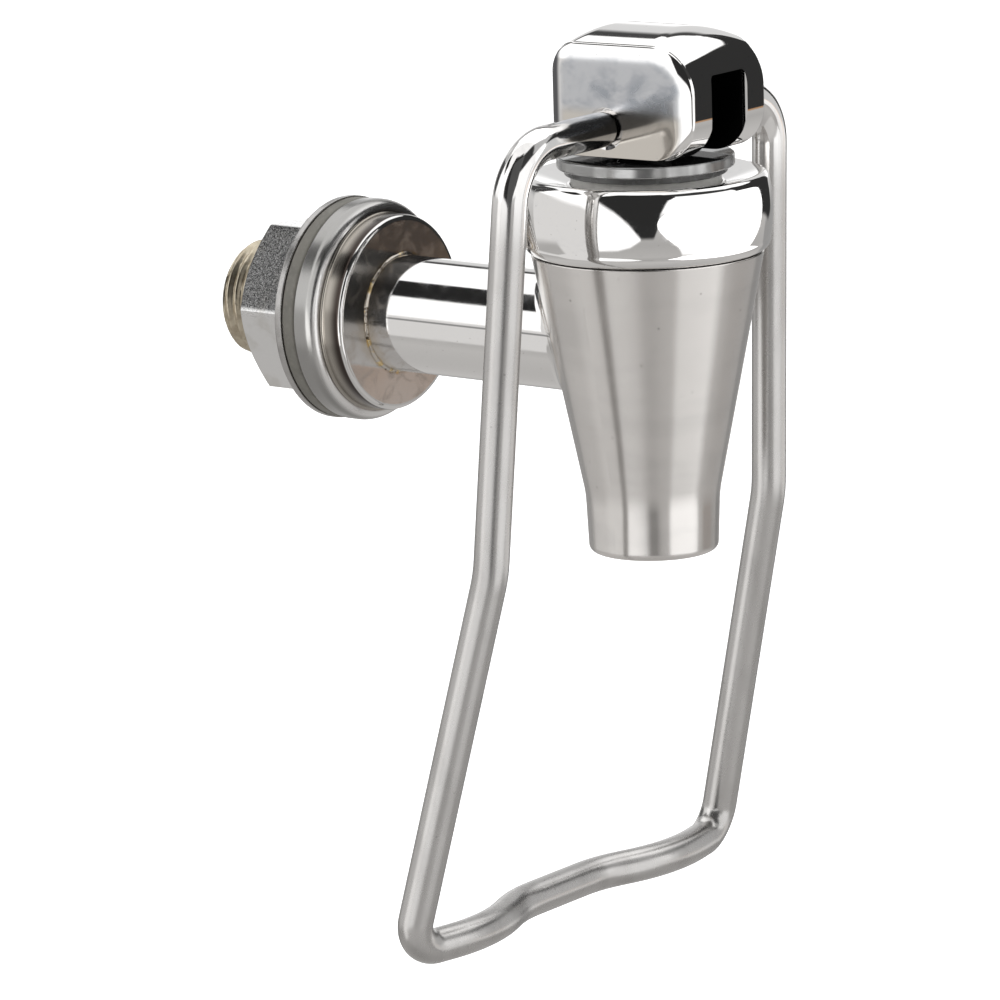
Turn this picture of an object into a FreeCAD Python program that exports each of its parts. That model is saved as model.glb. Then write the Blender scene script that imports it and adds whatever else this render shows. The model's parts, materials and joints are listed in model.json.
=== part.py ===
"""Beverage dispenser spigot: a no-drip faucet worked by a push-back wire loop.

Millimetres. The origin is where the shank axis crosses the tank wall's outer face, the face
the grey seal bears on. +Y runs into the tank along the shank, +Z is up, and the spout stands
in front of the wall on a vertical axis.
"""
import FreeCAD
import Part
import math
import os

V = FreeCAD.Vector

# Driving dimensions of the inlet
THREAD_D = 16.0            # shank thread, outside
SHANK_BORE_D = 12.4        # flow bore of the inlet tube
SHANK_BEYOND_WALL = 16.9   # wall face to the free end of the thread
SPOUT_REACH = 51.0         # wall face to the spout axis
NUT_ACROSS_FLATS = 22.6
NUT_LENGTH = 8.9
NUT_TURN = 3.5             # degrees, how the nut stopped when it was tightened
SEAL_THICKNESS = 2.1
CLAMP_WASHER_THICKNESS = 1.2
RIM_R = 15.3               # large step of the wall flange, next to the seal
RIM_LENGTH = 3.5
FLANGE_STEP = 1.8          # the front step is smaller than the rim by this much all round
RIM_NOSE_R = 1.7           # rounding from the rim down to the front step
FLANGE_LENGTH = 6.9

# Driving dimensions of the spout
CONE_TOP_Z = 12.2
CONE_TOP_R = 15.65
CONE_LENGTH = 32.8
CONE_FOOT_R = 9.05
CONE_FOOT_BLEND_R = 16.0   # blend between the cone and the nozzle
OUTLET_LENGTH = 8.0        # nearly straight nozzle below the cone
OUTLET_TAPER = 0.35
OUTLET_WALL = 1.4
SEAT_BORE_R = 6.0
SEAT_DEPTH = 20.8          # cone top to the valve seat
NECK_STEP = 1.65           # cone top to the threaded neck that the collar covers
NECK_WALL = 1.7
FIN_THICKNESS = 1.1        # three fins under the seat straighten the stream
FIN_START = 4.2            # seat to the upper edge of the fins
FIN_HEIGHT = 6.8
FIN_ROOT = 0.9             # how deep the fins are rooted in the wall

# Driving dimensions of the bonnet
COLLAR_WALL = 2.9
COLLAR_HEIGHT = 10.55
COLLAR_LIP = 2.25          # thickness of the inward lip on top of the collar
COLLAR_LEDGE = 4.98        # width of the flat ledge seen round the cam ring
DUST_SEAL_HEIGHT = 0.88
CAM_RING_HEIGHT = 1.62
CUP_RIM = 0.86
SLIP_WASHER_THICKNESS = 0.38
GUIDE_FLANGE = 0.66
STEM_R = 3.5
PIN_R = 1.6
SPRING_WIRE_R = 0.45
SPRING_TURNS = 5.5
BUTTON_TOP = 8.35          # seat to the upper end of the cup button
BUTTON_FOOT = 2.2          # seat to its foot
BUTTON_HEAD = 2.1          # height of its wide head
CUP_SKIN = 0.3             # between the button and the cup moulded round it

# Driving dimensions of the lever
HEAD_WIDTH = 17.9
HEAD_HEIGHT = 16.95
HEAD_FRONT = 13.95         # pivot to the front face
HEAD_BACK = 9.3            # pivot to the back face
HEAD_NOSE_RISE = 0.4       # top and underside rise by this much from the back to the front
HEAD_FRONT_CROWN = 0.1     # the front bulges by this much between the sides
HEAD_BACK_CROWN = 0.15
HEAD_CROWN = 1.9           # the top falls by this much from the middle to the sides
PIVOT_RISE = 4.25          # head underside to the pivot
SLOT_WIDTH = 7.7
SLOT_RISE = 7.3            # pivot to the roof of the slot
WIRE_R = 2.4
LOOP_TOP_HALF = 29.2       # half width of the loop at its top bends
LOOP_KINK_HALF = 32.0
LOOP_FOOT_HALF = 35.5
LOOP_KINK_DROP = 56.4      # pivot to the kink in the legs
LOOP_KINK_SET_BACK = 3.4
LOOP_DROP = 108.4          # pivot to the push bar
LOOP_SET_BACK = 16.2       # how far the foot corners lie behind the pivot
LOOP_HANG = 0.5            # the left corner hangs lower, the right one higher, by this much
BAR_BULGE = 2.9            # the push bar bows forward, then back to its middle
BAR_DIP = 1.5
BAR_BULGE_AT = 0.6         # places along the bar, as shares of its half width
BAR_DIP_AT = 0.257
TOP_BEND_R = 7.6
KINK_BEND_R = 20.0
FOOT_BEND_R = 4.3
BULGE_BEND_R = 26.0
DIP_BEND_R = 20.0

# Clearances
MOVING_GAP = 0.3           # between bodies that meet over a joint
RUNNING_GAP = 0.06         # radial, shafts and pins that turn or slide in a bore
SEATED_GAP = 0.02          # between fixed pieces that fit into one another
NUT_GAP = 0.05             # radial, nuts over their threads
PRESS_GAP = 0.01           # radial, the pin in the stem
ROUNDED_FROM = 0.5         # smaller corner radii are bevels

# Related sizes of the inlet
SHANK_R = THREAD_D / 2.0
BORE_R = SHANK_BORE_D / 2.0
SPOUT_Y = -SPOUT_REACH
FLANGE_BACK_Y = -SEAL_THICKNESS
FLANGE_FACE_Y = FLANGE_BACK_Y - FLANGE_LENGTH
FACE_R = RIM_R - FLANGE_STEP
NUT_FACE_Y = CLAMP_WASHER_THICKNESS

# Related sizes of the spout, downwards
CONE_FOOT_Z = CONE_TOP_Z - CONE_LENGTH
OUTLET_Z = CONE_FOOT_Z - OUTLET_LENGTH
OUTLET_R = CONE_FOOT_R - OUTLET_TAPER
OUTLET_BORE_R = OUTLET_R - OUTLET_WALL
SEAT_TOP_Z = CONE_TOP_Z - SEAT_DEPTH
NECK_R = CONE_TOP_R - NECK_STEP
NECK_BORE_R = NECK_R - NECK_WALL

# Related sizes of the bonnet, upwards
COLLAR_BOTTOM_Z = CONE_TOP_Z + 0.1
COLLAR_TOP_Z = COLLAR_BOTTOM_Z + COLLAR_HEIGHT
COLLAR_R = NECK_R + COLLAR_WALL
LIP_BOTTOM_Z = COLLAR_TOP_Z - COLLAR_LIP
GUIDE_FLANGE_TOP_Z = LIP_BOTTOM_Z - SEATED_GAP
GUIDE_FLANGE_Z = GUIDE_FLANGE_TOP_Z - GUIDE_FLANGE
SLIP_WASHER_Z = GUIDE_FLANGE_Z - SEATED_GAP - SLIP_WASHER_THICKNESS
CUP_RIM_TOP_Z = SLIP_WASHER_Z - SEATED_GAP
CUP_RIM_Z = CUP_RIM_TOP_Z - CUP_RIM
NECK_TOP_Z = CUP_RIM_Z - SEATED_GAP
CAM_BOTTOM_Z = COLLAR_TOP_Z + DUST_SEAL_HEIGHT
CAM_TOP_Z = CAM_BOTTOM_Z + CAM_RING_HEIGHT
CAM_RING_R = COLLAR_R - COLLAR_LEDGE
DUST_SEAL_R = CAM_RING_R - 0.97
LIP_R = DUST_SEAL_R - 0.83
CAM_STUB_R = STEM_R + 3.1
GUIDE_NECK_R = LIP_R - SEATED_GAP

# Related sizes of the stem group, from the seat upwards
GUIDE_FOOT_Z = GUIDE_FLANGE_Z - 4.7
SPRING_SEAT_Z = GUIDE_FOOT_Z + 1.2
SPRING_WASHER_R = STEM_R + 2.3
SPRING_WASHER_Z = GUIDE_FOOT_Z + 0.55
SPRING_MEAN_R = STEM_R + 1.25
STEM_COLLAR_R = STEM_R + 2.0
STEM_COLLAR_Z = SEAT_TOP_Z + 9.5
STEM_COLLAR_TOP_Z = STEM_COLLAR_Z + 1.4
STEM_TAIL_Z = SEAT_TOP_Z + 6.7
TAIL_R = 1.6
BUTTON_NECK_R = TAIL_R + 1.0
BUTTON_R = SEAT_BORE_R - 1.4
BUTTON_FOOT_Z = SEAT_TOP_Z + BUTTON_FOOT
BUTTON_HEAD_Z = BUTTON_FOOT_Z + BUTTON_HEAD
BUTTON_TOP_Z = SEAT_TOP_Z + BUTTON_TOP
POCKET_FOOT_Z = BUTTON_FOOT_Z - CUP_SKIN
POCKET_HEAD_Z = BUTTON_HEAD_Z + CUP_SKIN

# Related sizes of the lever
HEAD_BOTTOM_Z = CAM_TOP_Z + MOVING_GAP
HEAD_TOP_Z = HEAD_BOTTOM_Z + HEAD_HEIGHT
PIVOT_Z = HEAD_BOTTOM_Z + PIVOT_RISE
HEAD_HALF = HEAD_WIDTH / 2.0
SLOT_HALF = SLOT_WIDTH / 2.0
CHEEK = HEAD_HALF - SLOT_HALF
PIN_END_X = SLOT_HALF + 0.25 * CHEEK
WIRE_BORE_X = SLOT_HALF + 0.28 * CHEEK
WIRE_END_X = WIRE_BORE_X + 0.15
GRUB_X = SLOT_HALF + 0.58 * CHEEK
GRUB_R = 0.25 * CHEEK
SPOUT_AXIS = V(0, SPOUT_Y, 0)


def outline(points):
    """Closed outline in the XZ plane from (a, b) or (a, b, corner radius), a along X, b along Z.

    Corners of less than ROUNDED_FROM are broken with a bevel, as on a lathe.
    """
    count = len(points)
    starts = []
    for i in range(count):
        here = points[i]
        corner = V(here[0], 0, here[1])
        radius = here[2] if len(here) > 2 else 0.0
        if radius == 0.0:
            starts.append((corner, corner, None))
            continue
        before = points[i - 1]
        after = points[(i + 1) % count]
        to_before = (V(before[0], 0, before[1]) - corner).normalize()
        to_after = (V(after[0], 0, after[1]) - corner).normalize()
        half = to_before.getAngle(to_after) / 2.0
        run = radius / math.tan(half)
        if radius < ROUNDED_FROM:
            run = 0.7 * run
            starts.append((corner + to_before * run, corner + to_after * run, None))
            continue
        middle_way = (to_before + to_after).normalize()
        middle = corner + middle_way * (radius / math.sin(half) - radius)
        starts.append((corner + to_before * run, corner + to_after * run, middle))
    edges = []
    for i in range(count):
        arc_in, arc_out, middle = starts[i]
        if middle is not None:
            edges.append(Part.Arc(arc_in, middle, arc_out).toShape())
        elif arc_in.distanceToPoint(arc_out) > 1e-6:
            edges.append(Part.makeLine(arc_in, arc_out))
        next_in = starts[(i + 1) % count][0]
        if arc_out.distanceToPoint(next_in) > 1e-6:
            edges.append(Part.makeLine(arc_out, next_in))
    return Part.Wire(edges)


def turned_up(points, centre=SPOUT_AXIS):
    """Solid of revolution about a vertical axis, outline given as (radius, height)."""
    face = Part.Face(outline(points))
    face.translate(centre)
    return face.revolve(centre, V(0, 0, 1), 360)


def turned_along(points):
    """Solid of revolution about the shank axis, outline given as (radius, distance along Y)."""
    face = Part.Face(outline(points))
    solid = face.revolve(V(0, 0, 0), V(0, 0, 1), 360)
    solid.rotate(V(0, 0, 0), V(1, 0, 0), -90)
    return solid


def rod(radius, start, end):
    """Round bar between two points."""
    way = end - start
    return Part.makeCylinder(radius, way.Length, start, way)


def block(low, high):
    """Box between two corner points."""
    return Part.makeBox(high.x - low.x, high.y - low.y, high.z - low.z, low)


# Inlet: tube, flange, seal, washer and nut
def make_inlet_tube():
    chamfer = 0.9
    tube = turned_along([
        (BORE_R, SPOUT_Y),
        (SHANK_R, SPOUT_Y),
        (SHANK_R, SHANK_BEYOND_WALL - chamfer),
        (SHANK_R - chamfer, SHANK_BEYOND_WALL),
        (BORE_R + 0.4, SHANK_BEYOND_WALL),
        (BORE_R, SHANK_BEYOND_WALL - 0.4),
    ])
    # The near end is coped to the cone it is welded to
    return tube.cut(cone_envelope(SEATED_GAP))


def make_wall_flange():
    back = FLANGE_BACK_Y
    face = FLANGE_FACE_Y
    step = back - RIM_LENGTH
    fit = SHANK_R + SEATED_GAP
    flange = turned_along([
        (fit, back),
        (RIM_R, back, 0.25),
        (RIM_R, step, RIM_NOSE_R),
        (FACE_R, step, 0.35),
        (FACE_R, face, 0.75),
        (fit + 1.1, face, 0.5),
        (fit + 0.7, face - 0.55),
        (fit, face - 0.55),
    ])
    # Shallow seat on the back that keeps the seal centred
    recess = turned_along([
        (fit - 1.0, back - 0.5),
        (RIM_R - 1.6, back - 0.5),
        (RIM_R - 1.6, back + 1.0),
        (fit - 1.0, back + 1.0),
    ])
    return flange.cut(recess)


def make_wall_seal():
    fit = SHANK_R + 0.15
    back = FLANGE_BACK_Y
    seal = turned_along([
        (fit, 0.0, 0.2),
        (RIM_R - 0.05, 0.0, 0.5),
        (RIM_R - 0.05, back, 0.5),
        (RIM_R - 1.65, back),
        (RIM_R - 1.65, back - 0.48),
        (fit, back - 0.48),
    ])
    middle = (SHANK_R + RIM_R) / 2.0
    groove = turned_along([
        (middle - 1.1, -0.35),
        (middle + 1.1, -0.35),
        (middle + 1.1, 0.5),
        (middle - 1.1, 0.5),
    ])
    return seal.cut(groove)


def make_clamp_washer():
    return turned_along([
        (SHANK_R + 0.3, 0.0),
        (RIM_R + 0.1, 0.0, 0.25),
        (RIM_R + 0.1, CLAMP_WASHER_THICKNESS, 0.25),
        (SHANK_R + 0.3, CLAMP_WASHER_THICKNESS),
    ])


def make_hex_nut():
    corner_r = NUT_ACROSS_FLATS / 2.0 / math.cos(math.radians(30))
    points = []
    for i in range(7):
        turn = math.radians(60 * i + 180 - NUT_TURN)
        points.append(V(corner_r * math.cos(turn), NUT_FACE_Y, corner_r * math.sin(turn)))
    prism = Part.Face(Part.makePolygon(points)).extrude(V(0, NUT_LENGTH, 0))
    # Both ends are turned down at 30 degrees to the flats
    fall = (corner_r - NUT_ACROSS_FLATS / 2.0 + 0.35) * math.tan(math.radians(30))
    flat_r = NUT_ACROSS_FLATS / 2.0 - 0.35
    far = NUT_FACE_Y + NUT_LENGTH
    envelope = turned_along([
        (SHANK_R + NUT_GAP, NUT_FACE_Y + 0.8),
        (SHANK_R + NUT_GAP + 0.8, NUT_FACE_Y),
        (flat_r, NUT_FACE_Y),
        (corner_r, NUT_FACE_Y + fall),
        (corner_r, far - fall),
        (flat_r, far),
        (SHANK_R + NUT_GAP + 0.8, far),
        (SHANK_R + NUT_GAP, far - 0.8),
    ])
    return prism.common(envelope)


# Spout body
def cone_envelope(grow=0.0):
    """Outside of the cone without its neck, used to cope the tube."""
    return turned_up([
        (0, OUTLET_Z - 5.0),
        (OUTLET_R + grow, OUTLET_Z - 5.0),
        (CONE_FOOT_R + grow, CONE_FOOT_Z),
        (CONE_TOP_R + grow, CONE_TOP_Z),
        (CONE_TOP_R + grow, CONE_TOP_Z + COLLAR_HEIGHT),
        (0, CONE_TOP_Z + COLLAR_HEIGHT),
    ])


def make_spout_body():
    body = turned_up([
        (OUTLET_BORE_R, OUTLET_Z, 0.3),
        (OUTLET_R, OUTLET_Z, 1.05),
        (CONE_FOOT_R, CONE_FOOT_Z, CONE_FOOT_BLEND_R),
        (CONE_TOP_R, CONE_TOP_Z, 0.3),
        (NECK_R, CONE_TOP_Z, 0.3),
        (NECK_R, NECK_TOP_Z, 0.5),
        (NECK_BORE_R, NECK_TOP_Z, 0.2),
        (NECK_BORE_R, CONE_TOP_Z - 2.2, 4.0),
        (SEAT_BORE_R + 3.6, SEAT_TOP_Z + 3.6, 2.0),
        (SEAT_BORE_R + 2.2, SEAT_TOP_Z, 0.8),
        (SEAT_BORE_R, SEAT_TOP_Z - 1.3, 0.6),
        (SEAT_BORE_R, SEAT_TOP_Z - 5.0, 3.0),
        (OUTLET_BORE_R, CONE_FOOT_Z + 0.6, 6.0),
    ])
    for i in range(3):
        low = V(0.0, -FIN_THICKNESS / 2.0, SEAT_TOP_Z - FIN_START - FIN_HEIGHT)
        fin = block(low, V(SEAT_BORE_R + FIN_ROOT, FIN_THICKNESS / 2.0, SEAT_TOP_Z - FIN_START))
        fin.rotate(V(0, 0, 0), V(0, 0, 1), 90 + 120 * i)
        fin.translate(SPOUT_AXIS)
        body = body.fuse(fin)
    port = rod(BORE_R, V(0, SPOUT_Y + 4.0, 0), V(0, 0, 0))
    return body.cut(port).removeSplitter()


# Bonnet: collar, guide, rings
def make_bonnet_nut():
    thread_r = NECK_R + NUT_GAP
    low = COLLAR_BOTTOM_Z
    wall = [
        V(COLLAR_R - 0.35, 0, low + 1.6),
        V(COLLAR_R, 0, low + 5.0),
        V(COLLAR_R - 0.4, 0, COLLAR_TOP_Z - 1.2),
    ]
    barrel = Part.Arc(wall[0], wall[1], wall[2]).toShape()
    foot = Part.Arc(V(COLLAR_R - 1.5, 0, low), V(COLLAR_R - 0.72, 0, low + 0.52), wall[0]).toShape()
    top_r = COLLAR_R - 1.35
    crown = Part.Arc(wall[2], V(COLLAR_R - 0.72, 0, COLLAR_TOP_Z - 0.3), V(top_r, 0, COLLAR_TOP_Z)).toShape()
    rest = [
        V(top_r, 0, COLLAR_TOP_Z),
        V(LIP_R + 0.3, 0, COLLAR_TOP_Z),
        V(LIP_R, 0, COLLAR_TOP_Z - 0.3),
        V(LIP_R, 0, LIP_BOTTOM_Z),
        V(thread_r, 0, LIP_BOTTOM_Z),
        V(thread_r, 0, low + 0.8),
        V(thread_r + 0.7, 0, low),
        V(COLLAR_R - 1.5, 0, low),
    ]
    edges = [foot, barrel, crown]
    for i in range(len(rest) - 1):
        edges.append(Part.makeLine(rest[i], rest[i + 1]))
    face = Part.Face(Part.Wire(edges))
    face.translate(SPOUT_AXIS)
    return face.revolve(SPOUT_AXIS, V(0, 0, 1), 360)


def make_bonnet_guide():
    bore = STEM_R + RUNNING_GAP
    top = CAM_BOTTOM_Z - SEATED_GAP
    groove_r = bore + 1.1
    floor = COLLAR_TOP_Z - 0.95
    guide = turned_up([
        (bore, SPRING_SEAT_Z),
        (SPRING_WASHER_R + 0.1, SPRING_SEAT_Z),
        (SPRING_WASHER_R + 0.1, GUIDE_FOOT_Z),
        (SPRING_WASHER_R + 1.4, GUIDE_FOOT_Z, 0.4),
        (SPRING_WASHER_R + 1.8, GUIDE_FLANGE_Z, 0.3),
        (NECK_R - 0.8, GUIDE_FLANGE_Z, 0.2),
        (NECK_R - 0.8, GUIDE_FLANGE_TOP_Z, 0.2),
        (GUIDE_NECK_R, GUIDE_FLANGE_TOP_Z),
        (GUIDE_NECK_R, top, 0.2),
        (CAM_STUB_R, top),
        (CAM_STUB_R, floor),
        (groove_r, floor),
        (groove_r, floor - 1.7),
        (bore, floor - 1.7),
    ])
    # Lightening pockets between six ribs, open to the top under the cam ring
    wall = GUIDE_NECK_R - CAM_STUB_R
    for i in range(6):
        low = V(CAM_STUB_R + 0.25 * wall, -1.7, floor - 0.7)
        high = V(CAM_STUB_R + 0.78 * wall, 1.7, top + 1.0)
        pocket = block(low, high)
        pocket.rotate(V(0, 0, 0), V(0, 0, 1), 60 * i)
        pocket.translate(SPOUT_AXIS)
        guide = guide.cut(pocket)
    return guide


def make_stem_oring():
    ring = Part.makeTorus(STEM_R + RUNNING_GAP + 0.55, 0.5)
    ring.translate(V(0, SPOUT_Y, COLLAR_TOP_Z - 1.85))
    return ring


def make_dust_seal():
    return turned_up([
        (GUIDE_NECK_R + 2.0 * SEATED_GAP, COLLAR_TOP_Z),
        (DUST_SEAL_R, COLLAR_TOP_Z, 0.15),
        (DUST_SEAL_R, CAM_BOTTOM_Z, 0.15),
        (GUIDE_NECK_R + 2.0 * SEATED_GAP, CAM_BOTTOM_Z),
    ])


def make_cam_ring():
    bore = STEM_R + RUNNING_GAP
    stub = CAM_STUB_R - SEATED_GAP
    stub_foot = COLLAR_TOP_Z - 0.85
    return turned_up([
        (bore, CAM_TOP_Z, 0.3),
        (CAM_RING_R, CAM_TOP_Z, 0.35),
        (CAM_RING_R, CAM_BOTTOM_Z, 0.15),
        (stub, CAM_BOTTOM_Z),
        (stub, stub_foot, 0.3),
        (bore, stub_foot),
    ])


def make_slip_washer():
    top = SLIP_WASHER_Z + SLIP_WASHER_THICKNESS
    return turned_up([
        (SPRING_WASHER_R + 2.4, SLIP_WASHER_Z),
        (NECK_R - 0.7, SLIP_WASHER_Z),
        (NECK_R - 0.7, top),
        (SPRING_WASHER_R + 2.4, top),
    ])


def make_seat_cup():
    """Soft cup: its foot closes the seat, its thin wall folds as the stem lifts, its rim is clamped."""
    fold = GUIDE_FOOT_Z - 1.2
    return turned_up([
        (0, SEAT_TOP_Z - 1.9),
        (0.6 * SEAT_BORE_R, SEAT_TOP_Z - 1.9, 0.8),
        (SEAT_BORE_R - 0.25, SEAT_TOP_Z - 1.2, 0.4),
        (SEAT_BORE_R + 1.7, SEAT_TOP_Z + 0.1, 0.4),
        (SEAT_BORE_R + 1.7, SEAT_TOP_Z + 2.2, 0.8),
        (SEAT_BORE_R + 0.7, SEAT_TOP_Z + 5.4, 1.5),
        (SEAT_BORE_R + 1.6, SEAT_TOP_Z + 10.6, 4.0),
        (NECK_BORE_R - 3.0, fold, 4.0),
        (NECK_BORE_R - 2.1, CUP_RIM_Z, 0.3),
        (NECK_R - 0.4, CUP_RIM_Z, 0.2),
        (NECK_R - 0.4, CUP_RIM_TOP_Z, 0.2),
        (NECK_BORE_R - 2.9, CUP_RIM_TOP_Z, 0.4),
        (NECK_BORE_R - 3.9, fold, 4.0),
        (SEAT_BORE_R + 0.9, SEAT_TOP_Z + 10.6, 4.0),
        (SEAT_BORE_R - 0.1, SEAT_TOP_Z + 6.0, 0.5),
        (BUTTON_NECK_R + CUP_SKIN, SEAT_TOP_Z + 6.0, 0.3),
        (BUTTON_NECK_R + CUP_SKIN, POCKET_HEAD_Z + 0.6, 0.2),
        (BUTTON_R + CUP_SKIN, POCKET_HEAD_Z, 0.4),
        (BUTTON_R + CUP_SKIN, POCKET_FOOT_Z, 0.6),
        (0, POCKET_FOOT_Z),
    ])


def make_stem_spring():
    low = STEM_COLLAR_TOP_Z + 0.05 + SPRING_WIRE_R
    high = SPRING_WASHER_Z - 0.03 - SPRING_WIRE_R
    coil = Part.makeHelix((high - low) / SPRING_TURNS, high - low, SPRING_MEAN_R)
    section = Part.Wire([Part.makeCircle(SPRING_WIRE_R, V(SPRING_MEAN_R, 0, 0), V(0, 1, 0))])
    spring = Part.Wire(coil.Edges).makePipeShell([section], True, True)
    spring.translate(V(0, SPOUT_Y, low))
    return spring


def make_spring_washer():
    top = SPRING_SEAT_Z - 0.04
    return turned_up([
        (STEM_R + 0.35, SPRING_WASHER_Z),
        (SPRING_WASHER_R, SPRING_WASHER_Z, 0.15),
        (SPRING_WASHER_R, top, 0.15),
        (STEM_R + 0.35, top),
    ])


# Stem group
def make_stem():
    shoulder = BUTTON_TOP_Z + 0.05
    shaft = turned_up([
        (0, STEM_TAIL_Z),
        (TAIL_R, STEM_TAIL_Z, 0.3),
        (TAIL_R, shoulder),
        (BUTTON_NECK_R - 0.1, shoulder, 0.2),
        (BUTTON_NECK_R - 0.1, STEM_COLLAR_Z),
        (STEM_COLLAR_R, STEM_COLLAR_Z, 0.3),
        (STEM_COLLAR_R, STEM_COLLAR_TOP_Z, 0.3),
        (STEM_R, STEM_COLLAR_TOP_Z, 0.5),
        (STEM_R, PIVOT_Z + STEM_R),
        (0, PIVOT_Z + STEM_R),
    ])
    # The top is rounded about the pivot so that it turns freely in the head
    wide = 2.0 * STEM_R
    nose = rod(STEM_R, V(-wide, SPOUT_Y, PIVOT_Z), V(wide, SPOUT_Y, PIVOT_Z))
    below = block(V(-wide, SPOUT_Y - wide, STEM_TAIL_Z - 1.0), V(wide, SPOUT_Y + wide, PIVOT_Z))
    shaft = shaft.common(below.fuse(nose))
    # Two flats give the tang its thickness between the cheeks of the head
    tang = SLOT_HALF - MOVING_GAP - 0.15
    for side in (-1, 1):
        low = V(tang, SPOUT_Y - wide, CAM_TOP_Z + 0.9)
        flat = block(low, V(tang + wide, SPOUT_Y + wide, PIVOT_Z + wide))
        if side < 0:
            flat = flat.mirror(V(0, 0, 0), V(1, 0, 0))
        shaft = shaft.cut(flat)
    hole = rod(PIN_R + PRESS_GAP, V(-wide, SPOUT_Y, PIVOT_Z), V(wide, SPOUT_Y, PIVOT_Z))
    return shaft.cut(hole)


def make_pivot_pin():
    pin = rod(PIN_R, V(-PIN_END_X, SPOUT_Y, PIVOT_Z), V(PIN_END_X, SPOUT_Y, PIVOT_Z))
    rims = [e for e in pin.Edges if e.Closed]
    return pin.makeChamfer(0.25, rims)


def make_cup_button():
    hole = TAIL_R + SEATED_GAP
    hole_end = STEM_TAIL_Z - 0.1
    return turned_up([
        (hole, BUTTON_TOP_Z),
        (BUTTON_NECK_R, BUTTON_TOP_Z, 0.2),
        (BUTTON_NECK_R, BUTTON_HEAD_Z + 0.55, 0.2),
        (BUTTON_R, BUTTON_HEAD_Z, 0.4),
        (BUTTON_R, BUTTON_FOOT_Z, 0.6),
        (0, BUTTON_FOOT_Z),
        (0, hole_end),
        (hole, hole_end),
    ])


# Lever group
def head_section(x):
    """Side outline of the head at a distance x from its middle plane, crowned on top and in front."""
    share = (x / HEAD_HALF) ** 2
    back = HEAD_BACK - HEAD_BACK_CROWN * share
    front = -HEAD_FRONT + HEAD_FRONT_CROWN * share
    top = HEAD_TOP_Z - HEAD_CROWN * share
    wire = outline([
        (back, HEAD_BOTTOM_Z, 1.6),
        (front, HEAD_BOTTOM_Z + HEAD_NOSE_RISE, 5.0),
        (front, top + HEAD_NOSE_RISE, 8.0 - 1.4 * share),
        (back, top, 5.4 - 1.6 * share),
    ])
    wire.rotate(V(0, 0, 0), V(0, 0, 1), 90)
    wire.translate(V(x, SPOUT_Y, 0))
    return wire


def make_lever_head():
    sections = []
    for i in range(7):
        sections.append(head_section(HEAD_HALF * (i - 3) / 3.0))
    head = Part.makeLoft(sections, True, False)
    sides = []
    for edge in head.Edges:
        box = edge.BoundBox
        if box.XLength < 0.01 and abs(abs(box.Center.x) - HEAD_HALF) < 0.01:
            sides.append(edge)
    head = head.makeFillet(0.8, sides)
    head = head.cut(slot_cutter())
    # One bore through both cheeks: pin in the middle, wire ends outside it, relieved at the faces
    beyond = HEAD_HALF + 1.0
    head = head.cut(rod(PIN_R + RUNNING_GAP, V(-beyond, SPOUT_Y, PIVOT_Z), V(beyond, SPOUT_Y, PIVOT_Z)))
    for side in (-1, 1):
        deep = V(side * WIRE_BORE_X, SPOUT_Y, PIVOT_Z)
        mouth = V(side * (HEAD_HALF - 0.22 * CHEEK), SPOUT_Y, PIVOT_Z)
        out = V(side * beyond, SPOUT_Y, PIVOT_Z)
        head = head.cut(rod(WIRE_R + SEATED_GAP, deep, out))
        head = head.cut(rod(WIRE_R + 0.45, mouth, out))
        foot = V(side * GRUB_X, SPOUT_Y, HEAD_BOTTOM_Z - 1.0)
        head = head.cut(rod(GRUB_R + SEATED_GAP, foot, V(side * GRUB_X, SPOUT_Y, PIVOT_Z)))
    return head


def slot_cutter():
    """Slot for the stem, open to the front and below, with a rounded roof and a bevelled front rim."""
    roof = PIVOT_Z + SLOT_RISE
    back = SPOUT_Y + STEM_R + MOVING_GAP + 0.1
    front = SPOUT_Y - HEAD_FRONT
    slot = block(V(-SLOT_HALF, front - 6.0, HEAD_BOTTOM_Z - 5.0), V(SLOT_HALF, back, roof))
    along = []
    for edge in slot.Edges:
        box = edge.BoundBox
        if box.XLength < 0.01 and box.YLength > 10 and box.Center.z > roof - 0.1:
            along.append(edge)
    slot = slot.makeFillet(0.7, along)
    # The bevel is a wedge that opens by as much as it comes forward
    bevel = 0.4
    inner = V(-SLOT_HALF, front + bevel + 0.05, HEAD_BOTTOM_Z - 5.0)
    outer = V(-SLOT_HALF - 2.0, front + bevel - 1.95, HEAD_BOTTOM_Z - 5.0)
    rings = []
    for corner, high in ((inner, roof), (outer, roof + 2.0)):
        ends = [
            V(corner.x, corner.y, corner.z),
            V(-corner.x, corner.y, corner.z),
            V(-corner.x, corner.y, high),
            V(corner.x, corner.y, high),
            V(corner.x, corner.y, corner.z),
        ]
        rings.append(Part.makePolygon(ends))
    return slot.fuse(Part.makeLoft(rings, True, True))


def make_grub_screw(side):
    x = side * GRUB_X
    low = HEAD_BOTTOM_Z + 0.15
    top = PIVOT_Z - WIRE_R - SEATED_GAP
    screw = rod(GRUB_R, V(x, SPOUT_Y, low), V(x, SPOUT_Y, top))
    key_r = 0.6 * GRUB_R
    key = []
    for i in range(7):
        turn = math.radians(60 * i)
        key.append(V(x + key_r * math.cos(turn), SPOUT_Y + key_r * math.sin(turn), low - 0.2))
    socket = Part.Face(Part.makePolygon(key)).extrude(V(0, 0, 1.2))
    return screw.cut(socket)


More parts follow.
